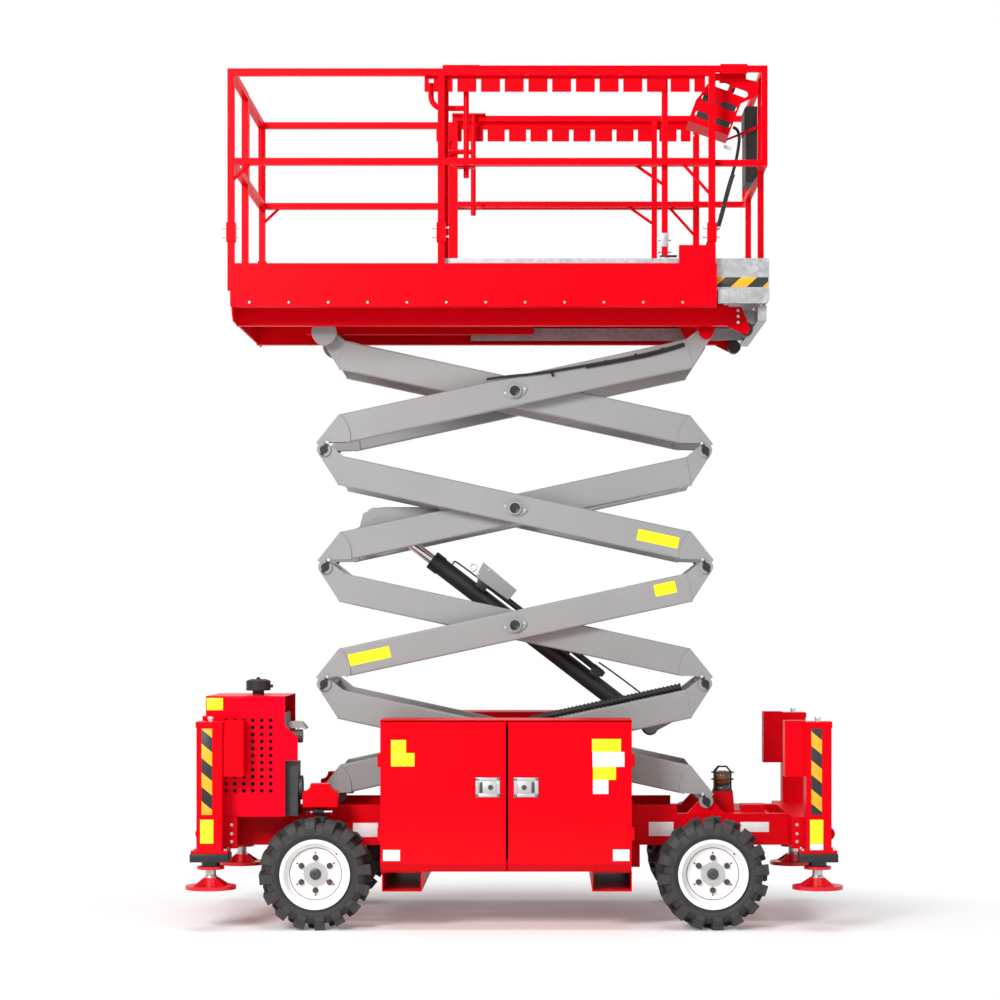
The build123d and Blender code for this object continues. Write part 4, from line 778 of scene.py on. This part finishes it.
def arm_film(level, middle, half_l, half_h):
    """A film that leans with an outer arm."""
    corners = [in_arm("outer", level, middle[0] + a * half_l, middle[1] + b * half_h)
               for a, b in ((-1, -1), (1, -1), (1, 1), (-1, 1))]
    return standing(sheet_cut(corners, 0.0010, 0.0002), -ARM_FACE["outer"])


def arm_films():
    """Blank films along the outer arms."""
    for level, name, middle, half_l, half_h in ARM_FILMS:
        both_sides("arm_film_%d_%s_{}" % (level, name), arm_body("outer", level), "yellow_film",
                   arm_film, level, middle, half_l, half_h)


def deck_films():
    """Hazard film along the side of the extension's channel."""
    both_sides("deck_hazard_{}", "extension", "deck_hazard",
               film, (1.018, 1.276), (3.227, 3.276), CHANNEL_FACE)


# ---------------------------------------------------------------- doors
LATCH_INSET, LATCH_HALF_W, LATCH_Z = 0.090, 0.060, (0.670, 0.766)
LATCH_RIM = 0.015  # width of the pressed frame round the cup
RIM_LAP = 0.0008  # how far that frame laps the door
PADDLE_GAPS = (0.036, 0.019)  # paddle to the latch's ends, the finger slot's first
SLOT_GAPS = (0.018, 0.034)  # the finger slot's ends from the same end
LOCK_SHIFT = {LEFT: 0.014, RIGHT: -0.010}


def latch_span(end, middle, first, last):
    """(low, high) in x of what lies between two distances from the latch's end with the slot."""
    outer = middle + end * LATCH_HALF_W
    return outer - end * first, outer - end * last


def latch_body(end, middle):
    """Pressed frame, dished cup, paddle and corner screws."""
    (x0, x1), (z0, z1) = (middle - LATCH_HALF_W, middle + LATCH_HALF_W), LATCH_Z
    rim_y = (-DOOR_FACE + 0.003, -DOOR_FACE - 0.0045)
    wide = (x0 - RIM_LAP, x1 + RIM_LAP)
    pieces = [bar(wide, rim_y, (z0 - RIM_LAP, z0 + LATCH_RIM), 0.0012),
              bar(wide, rim_y, (z1 - LATCH_RIM, z1 + RIM_LAP), 0.0012),
              bar((x0 - RIM_LAP, x0 + LATCH_RIM), rim_y, LATCH_Z, 0.0012),
              bar((x1 - LATCH_RIM, x1 + RIM_LAP), rim_y, LATCH_Z, 0.0012),
              bar((x0 + 0.010, x1 - 0.010), (-DOOR_FACE + 0.001, -DOOR_FACE - 0.0008),
                  (z0 + 0.010, z1 - 0.010), 0.0004)]
    paddle = latch_span(end, middle, PADDLE_GAPS[0], 2 * LATCH_HALF_W - PADDLE_GAPS[1])
    pieces.append(bar(paddle, (-DOOR_FACE, -DOOR_FACE - 0.0036), (z0 + 0.019, z1 - 0.019), 0.0016))
    corner = LATCH_RIM / 2
    screws = [placed((x, -DOOR_FACE - 0.0040, z)) for x in (x0 + corner, x1 - corner)
              for z in (z0 + corner, z1 - corner)]
    return joined(pieces + [bolts(screws, cap_bolt, 0.0042, 0.0026)])


def latch_lock(end, middle):
    """A dark plate as painted shade in the finger slot, and the round lock."""
    z0, z1 = LATCH_Z
    # the finger slot is a thin dark plate on the door face: painted shade where the slot's hollow is
    cup = bar(latch_span(end, middle, *SLOT_GAPS), (-DOOR_FACE, -DOOR_FACE - 0.0016),
              (z0 + 0.020, z1 - 0.020), 0.0006)
    barrel = turned((0.0130, 0), (0.0130, 0.0020), (0.0112, 0.0036), (0.0045, 0.0036), (0.0045, 0.0016))
    lock_at = placed((middle + LOCK_SHIFT[end], -DOOR_FACE - 0.0034, (z0 + z1) / 2))
    return joined([cup, copies(barrel, [lock_at])])


def door_latches():
    """Flush paddle latches by the free edge of each door."""
    for end in (LEFT, RIGHT):
        low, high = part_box("door_near_" + END_NAMES[end])
        middle = high.x - LATCH_INSET if end == LEFT else low.x + LATCH_INSET
        tag = "{}_" + END_NAMES[end]
        both_sides("latch_" + tag, "door_" + tag, "latch_steel", latch_body, end, middle)
        both_sides("latch_lock_" + tag, "door_" + tag, "dark_steel", latch_lock, end, middle)


# ---------------------------------------------------------------- wheels
STUDS, STUD_R, MARK_R = 6, 0.082, 0.106
DISC_OUT, HUB_OUT = 0.050, 0.008  # disc face beyond the rim's middle, hub face beyond the disc
VALVE_AT = (0.105, 0.100)  # valve stem across and above the axle


def round_axle(centre, radius, y):
    """Where the studs or marks stand round an axle."""
    return [placed((centre.x + x, y, centre.z + z)) for x, z in on_circle(radius, steps_round(STUDS, 0.5))]


def wheel_nuts(centre, disc):
    """Studs with their nuts, the centre nut and the valve stem of a near wheel."""
    nut = turned((0.0150, 0), (0.0150, 0.011), (0.0120, 0.015), (0.0085, 0.015), (0.0085, 0.024),
                 (0.0070, 0.026), sides=12)
    studs = copies(nut, round_axle(centre, STUD_R, disc + 0.0005))
    spline = turned((0.030, 0), (0.030, 0.004), (0.021, 0.006), (0.021, 0.020), (0.018, 0.023),
                    (0.009, 0.023), (0.009, 0.014), sides=12)
    centre_nut = copies(spline, [placed((centre.x, disc - HUB_OUT + 0.0005, centre.z))])
    root = Vector((centre.x + VALVE_AT[0], disc, centre.z + VALVE_AT[1]))
    stem = hose([root, root + Vector((0, -0.020, 0)), root + Vector((0.012, -0.034, 0.010))], 0.0042)
    return joined([studs, centre_nut, stem])


def stud_marks(centre, disc):
    """Small round marks beside the studs."""
    dot = turned((0.0055, 0), (0.0055, 0.0008), (0.0045, 0.0012), sides=12)
    return copies(dot, round_axle(centre, MARK_R, disc + 0.0003))


def wheel_fittings():
    """Nuts, valves and marks of the wheels."""
    for end in ("left", "right"):
        centre = sum(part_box("rim_near_" + end), Vector()) / 2
        disc = centre.y - DISC_OUT
        both_sides("wheel_nuts_{}_" + end, "wheel_{}_" + end, "dark_steel", wheel_nuts, centre, disc)
        both_sides("wheel_marks_{}_" + end, "wheel_{}_" + end, "red_dot", stud_marks, centre, disc)


# ---------------------------------------------------------------- scissor stack
KEEPER_BOLT, KEEPER_END = (0.019, 0.036), (-0.013, -0.028)  # from the pin, along the arm's way and up
KEEPER_HALF_W, KEEPER_THICK = 0.0080, 0.005
CENTRE_BOLT_R = 0.051


def pin_keeper(kind, pin, bolt, end):
    """A strap over the end of a pin."""
    face = -CHEEK_FACE[kind]
    heading = math.atan2(end[1] - bolt[1], end[0] - bolt[0])
    across = Vector((-math.sin(heading), math.cos(heading))) * KEEPER_HALF_W
    bolt, end = Vector(bolt), Vector(end)
    strap = sheet_cut([bolt + across, end + across, end - across, bolt - across], KEEPER_THICK)
    pin_end = turned((0.0200, 0), (0.0200, 0.007), (0.0175, 0.010))
    return joined([standing(strap, face - 0.006), copies(pin_end, [placed((pin[0], face - 0.0003, pin[1]))])])


def arm_tips():
    """Keeper straps and lock bolts over the pins at the arms' lower ends; the lowest inner arm has none."""
    for kind, level in [(kind, level) for kind in ("outer", "inner") for level in range(1, LEVELS + 1)]:
        if (kind, level) == ("inner", 1):
            continue
        pin = in_arm(kind, level, -TIP[0], -TIP[1])
        bolt, end = ((pin[0] + arm_heading(kind, level) * away, pin[1] + up) for away, up in
                     (KEEPER_BOLT, KEEPER_END))
        tag, body = "%d_%s_{}" % (level, kind), arm_body(kind, level)
        both_sides("pin_keeper_" + tag, body, "black_paint", pin_keeper, kind, pin, bolt, end)
        head_at = placed((bolt[0], -CHEEK_FACE[kind] - 0.0108, bolt[1]), turn=0.3)
        both_sides("pin_bolt_" + tag, body, "zinc_bolt", bolts, [head_at], hex_bolt, 0.0077, 0.006)


def centre_bolts():
    """The two bolts of each centre plate."""
    for level in range(1, LEVELS + 1):
        middle = HINGE.z + (level - 0.5) * RISE
        turn = arm_heading("outer", level) * LEAN
        spots = [placed((x, -CHEEK_FACE["outer"] - 0.0002, middle + z))
                 for x, z in on_circle(CENTRE_BOLT_R, (turn + math.pi, turn))]
        both_sides("centre_bolts_%d_{}" % level, arm_body("outer", level), "zinc_bolt",
                   bolts, spots, hex_bolt, 0.0062, 0.005)


# ---------------------------------------------------------------- platform
PANEL_FACE, ROW_Z, ROW_START, ROW_STEP, ROW_COUNT = 0.7002, 3.1435, -1.3235, 0.197, 12
BRACKET_X, BRACKET_FACE, BRACKET_BOLT_Z = 1.139, 0.4602, (3.133, 3.103, 3.072)


def platform_bolts():
    """Button heads along the foot of the side panels, and the bolts of the roller brackets."""
    row = [placed((ROW_START + ROW_STEP * i, -PANEL_FACE, ROW_Z)) for i in range(ROW_COUNT)]
    both_sides("panel_bolts_{}", "platform", "zinc_bolt", bolts, row, cap_bolt, 0.0068, 0.0045)
    column = [placed((BRACKET_X, -BRACKET_FACE, z)) for z in BRACKET_BOLT_Z]
    both_sides("bracket_bolts_{}", "platform", "zinc_bolt", bolts, column, hex_bolt, 0.0075, 0.006)


# ---------------------------------------------------------------- legs and foot flanges
GLAND_OUT, GLAND_IN, GLAND_Z = (0.0965, 0.0750), 0.0625, (0.3430, 0.3846)
FLANGE_TOP, FLANGE_BOLT = 0.4001, (0.078, 0.048)
BEAM_FACE, BEAM_BOLT_Z = 0.5715, (0.435, 0.475, 0.520)


def gland_flange(x, y):
    """A square ring of four bars round the inner leg."""
    (half_x, half_y), inner = GLAND_OUT, GLAND_IN
    reach = inner + 0.0015
    walls = [bar((x - half_x, x + half_x), (y + s * half_y, y + s * inner), GLAND_Z, 0.003) for s in (-1, 1)]
    walls += [bar((x + s * half_x, x + s * inner), (y - reach, y + reach), GLAND_Z, 0.003) for s in (-1, 1)]
    return joined(walls)


def leg_bolts(x, y):
    """The bolts of the foot flange and the bright screw on the leg's cap."""
    spots = [placed((x + a * FLANGE_BOLT[0], y + b * FLANGE_BOLT[1], FLANGE_TOP), UP, 0.2)
             for a in (-1, 1) for b in (-1, 1)]
    heads = bolts(spots, hex_bolt, 0.0092, 0.009)
    screw = turned((0.0128, 1.0448), (0.0128, 1.0560), (0.0165, 1.0575), (0.0165, 1.0668), (0.0140, 1.0690),
                   sides=16)
    screw.location = (x, y, 0)
    return joined([heads, settle(screw)])


def leg_fittings():
    """Gland flange, bolts and cap screw of each leg, and the bolts of its beam."""
    for end in (LEFT, RIGHT):
        x, y, tag = end * LEG_X, -LEG_Y, "{}_" + END_NAMES[end]
        both_sides("gland_flange_" + tag, "chassis", "black_paint", gland_flange, x, y)
        both_sides("leg_bolts_" + tag, "chassis", "zinc_bolt", leg_bolts, x, y)
        column = [placed((x - end * GLAND_OUT[0], -BEAM_FACE, z)) for z in BEAM_BOLT_Z]
        both_sides("beam_bolts_" + tag, "chassis", "zinc_bolt", bolts, column, hex_bolt, 0.0075, 0.006)


# ---------------------------------------------------------------- steering rams
RAM_Y, RAM_Z = -0.520, 0.582


def ram_barrel():
    """The end of the ram's barrel and the pipe that leaves its elbow."""
    barrel = turned((0.0130, 0), (0.0155, 0.002), (0.0155, 0.050), (0.0130, 0.054), sides=20)
    pipe = [(-1.036, 0), (-1.052, 0), (-1.056, -0.008), (-1.056, -0.020)]
    return joined([copies(barrel, [placed((-1.020, RAM_Y, RAM_Z), ALONG_X)]),
                   hose([(x, RAM_Y, RAM_Z + up) for x, up in pipe], 0.0040)])


def ram_rod():
    """The bright rod end with its nut, and the pipe's union."""
    rod = turned((0.0095, 0), (0.0095, 0.034), (0.0120, 0.036), (0.0120, 0.042), (0.0085, 0.044), sides=20)
    union = turned((0.0080, 0), (0.0080, 0.010), (0.0062, 0.014), sides=6)
    return joined([copies(rod, [placed((-0.967, RAM_Y, RAM_Z), ALONG_X)]),
                   copies(union, [placed((-1.036, RAM_Y, RAM_Z), ALONG_X)])])


def ram_ends():
    """What shows of the steering rams under each cover."""
    both_sides("ram_barrel_{}", "chassis", "black_paint", ram_barrel)
    both_sides("ram_rod_{}", "chassis", "zinc_bolt", ram_rod)


# ---------------------------------------------------------------- engine
VISOR = [(-1.157, 1.038), (-1.118, 1.040), (-1.082, 1.036), (-1.056, 1.006), (-1.064, 0.999), (-1.084, 1.010),
         (-1.102, 1.000), (-1.110, 1.008), (-1.128, 1.004), (-1.157, 1.012)]  # section (x, z)


def cleaner_trim():
    """Knob, side clamp and two bands of the air cleaner."""
    low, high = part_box("air_cleaner")
    middle = (low + high) / 2
    knob = turned((0.0110, high.z - 0.001), (0.0110, high.z + 0.004), (0.0070, high.z + 0.006),
                  (0.0070, high.z + 0.0105), sides=16)
    clamp = copies(turned((0.0090, 0), (0.0090, 0.012), (0.0060, 0.016), sides=12),
                   [placed((middle.x + 0.0610, middle.y - 0.010, low.z + 0.045), ALONG_X)])
    bands = [turned((0.0635, z), (0.0642, z + 0.0015), (0.0642, z + 0.0035), (0.0635, z + 0.005), sides=32)
             for z in (low.z + 0.028, low.z + 0.062)]
    for piece in [knob] + bands:
        piece.location = (middle.x, middle.y, 0)
        settle(piece)
    return joined([knob, clamp] + bands)


def hood_fittings():
    """Access flap, rain visor, air cleaner trim and bolts of the engine hood."""
    low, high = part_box("engine_cover")
    flap = bar((-1.464, -1.281), (low.y - 0.0022, low.y + 0.001), (1.123, high.z - 0.001), 0.0008)
    # the flap takes the hood's lighter red, painted light
    fitted("hood_flap", flap, "chassis", "hood_paint_painted_light")
    fitted("hood_visor", standing(sheet_cut(VISOR, 0.10, 0.001), low.y + 0.16), "chassis", "hood_inside")
    fitted("cleaner_trim", cleaner_trim(), "chassis", "black_plastic")
    spots = [placed((x, low.y - 0.0001, 0.600)) for x in (-1.535, -1.49)]
    fitted("hood_bolts", bolts(spots, cap_bolt, 0.0060, 0.004), "chassis", "zinc_bolt")


def warning_lamp():
    """The ribbed lens on its base, in the form of the lamp's solid, and the hoops of its cage."""
    low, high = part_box("beacon")
    middle = (low + high) / 2
    steps = [(0.0500, 0), (0.0500, 0.012), (0.0440, 0.020), (0.0440, 0.034), (0.0460, 0.037), (0.0460, 0.081),
             (0.0430, 0.088)]
    lens = turned(*[(radius, low.z + up) for radius, up in steps], (0.0300, high.z - 0.003), (0.0200, high.z),
                  sides=48)
    lens.location = (middle.x, middle.y, 0)
    fitted("lamp_lens", settle(lens), "chassis", "amber")
    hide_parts("beacon")
    loop = on_circle(0.0575, [2 * math.pi * i / 24 for i in range(25)])
    hoops = [hose([(middle.x + x, middle.y + y, z) for x, y in loop], 0.0030, False) for z in (0.724, 0.760)]
    fitted("lamp_hoops", joined(hoops), "chassis", "black_paint")


# ---------------------------------------------------------------- lift cylinder
FOOT = Vector(joints["barrel_foot"]["pos_m"])
WAY = Vector(joints["rod_slide"]["axis"]).normalized()
RISE_WAY = Vector((-WAY.z, 0, WAY.x)) * (1 if WAY.x > 0 else -1)
HOSE_LANES = [(0.066, -0.045), (0.080, -0.030), (0.071, -0.066)]  # above the cylinder's axis, y
CLAMPS_AT = (1.155, 0.60, 0.40)
VALVE_COVER = [(1.2223, 0.1544), (0.9939, 0.1446), (0.9970, 0.0762), (1.2066, 0.0694)]  # along, above
VALVE_COVER_Y, VALVE_COVER_DEEP = -0.012, 0.075
VALVE_BOLTS = [(1.1722, 0.1400), (1.2047, 0.0884)]
VALVE_RING = (1.2463, 0.0996)


def beside_barrel(along, above, y):
    """A point this far along the cylinder from its foot and this far above its axis."""
    spot = FOOT + WAY * along + RISE_WAY * above
    return (spot.x, y, spot.z)


def barrel_run(points, radius):
    """A pipe through points given along and above the cylinder, and y."""
    return hose([beside_barrel(*point) for point in points], radius)


def cylinder_pipes():
    """Pipes and hoses beside the barrel with their clamp blocks."""
    upper = [(1.345, 0.046, -0.02), (1.352, 0.062, -0.02), (1.335, 0.071, -0.02), (1.18, 0.071, -0.02)]
    lower = [(0.42, 0.105, -0.03), (0.36, 0.112, -0.03), (0.12, 0.112, -0.03)]
    pieces = [barrel_run(upper, 0.0045), barrel_run(lower, 0.0045)]
    for above, y in HOSE_LANES:
        lane = [(1.19, above, y), (0.9, above, y), (0.62, above, y), (0.36, above - 0.004, y)]
        pieces.append(barrel_run(lane, 0.0095))
    for along in CLAMPS_AT:
        block = bar((-0.030, 0.030), (-0.078, 0.0), (0.030, 0.088), 0.003)
        block.rotation_euler = (0, math.atan2(RISE_WAY.x, RISE_WAY.z), 0)
        block.location = FOOT + WAY * along
        pieces.append(settle(block))
    fitted("cylinder_pipes", joined(pieces), "lift_barrel", "black_paint")


def valve_cover():
    """The sheet cover over the valve at the barrel's head, its bolts and its ring."""
    corners = [beside_barrel(along, above, 0)[::2] for along, above in VALVE_COVER]
    cover = standing(sheet_cut(corners, VALVE_COVER_DEEP, 0.0015), VALVE_COVER_Y)
    fitted("valve_cover", cover, "lift_barrel", "grey_paint")
    face = VALVE_COVER_Y - VALVE_COVER_DEEP + 0.0002
    heads = bolts([placed(beside_barrel(*spot, face)) for spot in VALVE_BOLTS], cap_bolt, 0.0070, 0.0045)
    centre = Vector(beside_barrel(*VALVE_RING, -0.050))
    ring = [centre + Vector((0.016 * a, 0.006 * b, 0.018 * b))
            for a, b in on_circle(1, [2 * math.pi * i / 16 for i in range(17)])]
    fitted("valve_cover_bolts", joined([heads, hose(ring, 0.0035, False)]), "lift_barrel", "zinc_bolt")


# ---------------------------------------------------------------- hoses along the arms
CARRIER_Y, CARRIER_UP, CARRIER_RIBS = -0.1985, 0.094, 38
CABLE_Y = -ARM_FACE["outer"] - 0.0085
MAIN_CABLE = [(-0.13, 0.089), (-0.02, 0.082), (0.12, 0.062), (0.46, 0.046), (0.76, 0.040), (0.90, 0.052)]
SECOND_CABLE = [(0.38, 0.040), (0.62, 0.030), (0.78, 0.031), (0.90, 0.043)]
CABLE_CLIPS = (0.20, 0.48, 0.64, 0.78)
DECK_CABLE = [(0.992, -0.372, 3.071), (1.008, -0.372, 3.110), (1.0176, -0.372, 3.150), (1.016, -0.400, 3.180)]


def along_arm(kind, level, y, points):
    """Points in space from points given along and above an arm's tube."""
    return [Vector((x, y, z)) for x, z in (in_arm(kind, level, *point) for point in points)]


def hose_carrier():
    """The ribbed hose carrier on the lowest inner arm."""
    run = along_arm("inner", 1, CARRIER_Y, [(0.10 + 0.1 * i, CARRIER_UP) for i in range(9)])
    rib = turned((0.0185, 0), (0.0195, 0.003), (0.0195, 0.009), (0.0185, 0.012), sides=16)
    spots = [placed(run[0].lerp(run[-1], (i + 0.5) / CARRIER_RIBS), run[-1] - run[0])
             for i in range(CARRIER_RIBS)]
    fitted("hose_carrier", joined([hose(run, 0.0160), copies(rib, spots)]), "arm_1_inner", "black_plastic")


def arm_cables():
    """The cables clipped to the top outer arm, and their way on to the platform."""
    clip = turned((0.0105, 0), (0.0125, 0.002), (0.0125, 0.010), (0.0105, 0.012), sides=12)
    down_arm = (math.cos(LEAN), 0, math.sin(LEAN))
    spots = [placed(spot, down_arm)
             for spot in along_arm("outer", 4, CABLE_Y, [(along, 0.044) for along in CABLE_CLIPS])]
    cables = [hose(along_arm("outer", 4, CABLE_Y, run), radius)
              for run, radius in ((MAIN_CABLE, 0.0070), (SECOND_CABLE, 0.0055))]
    fitted("arm_cable", joined(cables + [copies(clip, spots)]), "arm_4_outer", "black_rubber")
    fitted("deck_cable", hose(DECK_CABLE, 0.0070), "platform", "black_rubber")


# ---------------------------------------------------------------- guardrail fittings
PIN_Z, POST_PIN_Z = (3.475, 3.520), (3.465, 3.405)
POST_X, POST_Y, POST_HALF = 0.757, -0.625, 0.0185


def rail_pins():
    """Lock pins through the post sleeves of the platform's rails."""
    low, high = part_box("platform_rails")
    posts = (low.x + 0.023, -0.365, high.x - 0.023)
    pin = turned((0.0058, -0.008), (0.0078, -0.006), (0.0078, 0.000), (0.0042, 0.001), (0.0042, 0.066),
                 (0.0062, 0.068), (0.0062, 0.074), sides=12)
    return copies(pin, [placed((x - 0.036, low.y + 0.023, z), ALONG_X) for x in posts for z in PIN_Z])


def post_sleeves():
    """The bright sleeve and foot of a sliding post with their lock pins."""
    x, y = (POST_X - POST_HALF, POST_X + POST_HALF), (POST_Y - POST_HALF, POST_Y + POST_HALF)
    pin = turned((0.0060, -0.010), (0.0060, -0.004), (0.0040, -0.002), (0.0040, 0.048), (0.0058, 0.050),
                 (0.0058, 0.056), sides=12)
    return joined([bar(x, y, (3.430, 3.500), 0.002), bar(x, y, (3.340, 3.378), 0.002),
                   copies(pin, [placed((POST_X - 0.024, POST_Y, z), ALONG_X) for z in POST_PIN_Z])])


def post_strap():
    """The black strap round a sliding post's foot."""
    return bar((POST_X - 0.024, POST_X + 0.062), (POST_Y - 0.020, POST_Y + 0.020), (3.3815, 3.3885), 0.002)


def rail_fittings():
    """Pins, sleeves and straps of the guardrail posts."""
    both_sides("rail_pins_{}", "platform", "zinc_bolt", rail_pins)
    both_sides("post_sleeves_{}", "extension", "galvanised", post_sleeves)
    both_sides("post_strap_{}", "extension", "black_plastic", post_strap)


# ---------------------------------------------------------------- control box
SLEEVE_ROUTE = [(1.1085, -0.5143, 3.815), (1.097, -0.523, 3.790), (1.032, -0.588, 3.545),
                (1.0245, -0.5935, 3.530)]
CONTROL_PLATE = [(1.060, 3.960), (1.104, 3.946), (1.098, 3.928), (1.054, 3.942)]  # corners (x, z)
GUARD_BOLTS = [(0.905, 4.005), (1.070, 3.946)]


def control_fittings():
    """Wound sleeve of the control cable, and the guard's blank plate and bolts."""
    fitted("cable_sleeve", hose(SLEEVE_ROUTE, 0.0120), "extension", "sleeve")
    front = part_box("control_box")[0].y
    plate = standing(sheet_cut(CONTROL_PLATE, 0.0010, 0.0002), front - 0.0001)
    fitted("control_plate", plate, "extension", "white_film")
    spots = [placed((x, front - 0.0045, z)) for x, z in GUARD_BOLTS]
    fitted("guard_bolts", bolts(spots, cap_bolt, 0.0055, 0.004), "extension", "zinc_bolt")


def dress_cable():
    """The cable's finish and slot, in place of the frame's own cable."""
    cable.data.materials.append(FINISHES["black_rubber"])
    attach(cable, "extension")
    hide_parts("control_cable")


# ---------------------------------------------------------------- room
AMBIENT = 0.24
SHADOW_REACH = (2.6, 1.7)  # half sizes of the patch of floor that keeps its shadow
SHADOW_CORE, SHADOW_FADE, SHADOW_LIFT = 0.55, 1.5, 0.16


def white_room():
    """White where it is seen, dimmer where it only lights."""
    world = bpy.data.worlds.new("studio")
    bpy.context.scene.world = world
    world.use_nodes = True
    room = Nodes(world.node_tree)
    dim = room.tree.nodes["Background"]
    dim.inputs["Color"].default_value = (1, 1, 1, 1)
    dim.inputs["Strength"].default_value = AMBIENT
    bright = room.node("Background", sockets={"Color": (1, 1, 1), "Strength": 1.0})
    room.show("World Output",
              room.node("MixShader", sockets={0: room.seen(), 1: Tone(room, dim.outputs[0]), 2: bright}))


def floor():
    """White floor that keeps the machine's shadow round its feet."""
    clear_pick()
    bpy.ops.mesh.primitive_plane_add(size=60)
    ground = bpy.context.object
    ground.name = "floor"
    paper = Finish("floor_paper")
    cloud = paper.noise(1.5, 2)
    paper.skin(Base_Color=paper.blend(cloud, (0.90, 0.90, 0.90), (0.93, 0.93, 0.93)), Roughness=0.95)
    across, deep = paper.axis("X") / SHADOW_REACH[0], paper.axis("Y") / SHADOW_REACH[1]
    beyond = ((across * across + deep * deep) ** 0.5 - SHADOW_CORE).at_least(0.0)
    share = (beyond * SHADOW_FADE + SHADOW_LIFT).at_most(1.0)
    glow = paper.node("Emission", sockets={"Color": (1, 1, 1), "Strength": 1.0})
    matt = Tone(paper, paper.surface.outputs[0])
    paper.show("Material Output",
               paper.node("MixShader", sockets={0: share * paper.seen(), 1: matt, 2: glow}))
    ground.data.materials.append(paper.material)


# ---------------------------------------------------------------- all of it
for part in (white_room, floor, door_films, chassis_films, arm_films, deck_films, door_latches,
             wheel_fittings, arm_tips, centre_bolts, platform_bolts, leg_fittings, ram_ends, hood_fittings,
             warning_lamp, cylinder_pipes, valve_cover, hose_carrier, arm_cables, rail_fittings,
             control_fittings, dress_cable):
    part()

bpy.context.scene.view_settings.view_transform = "Standard"
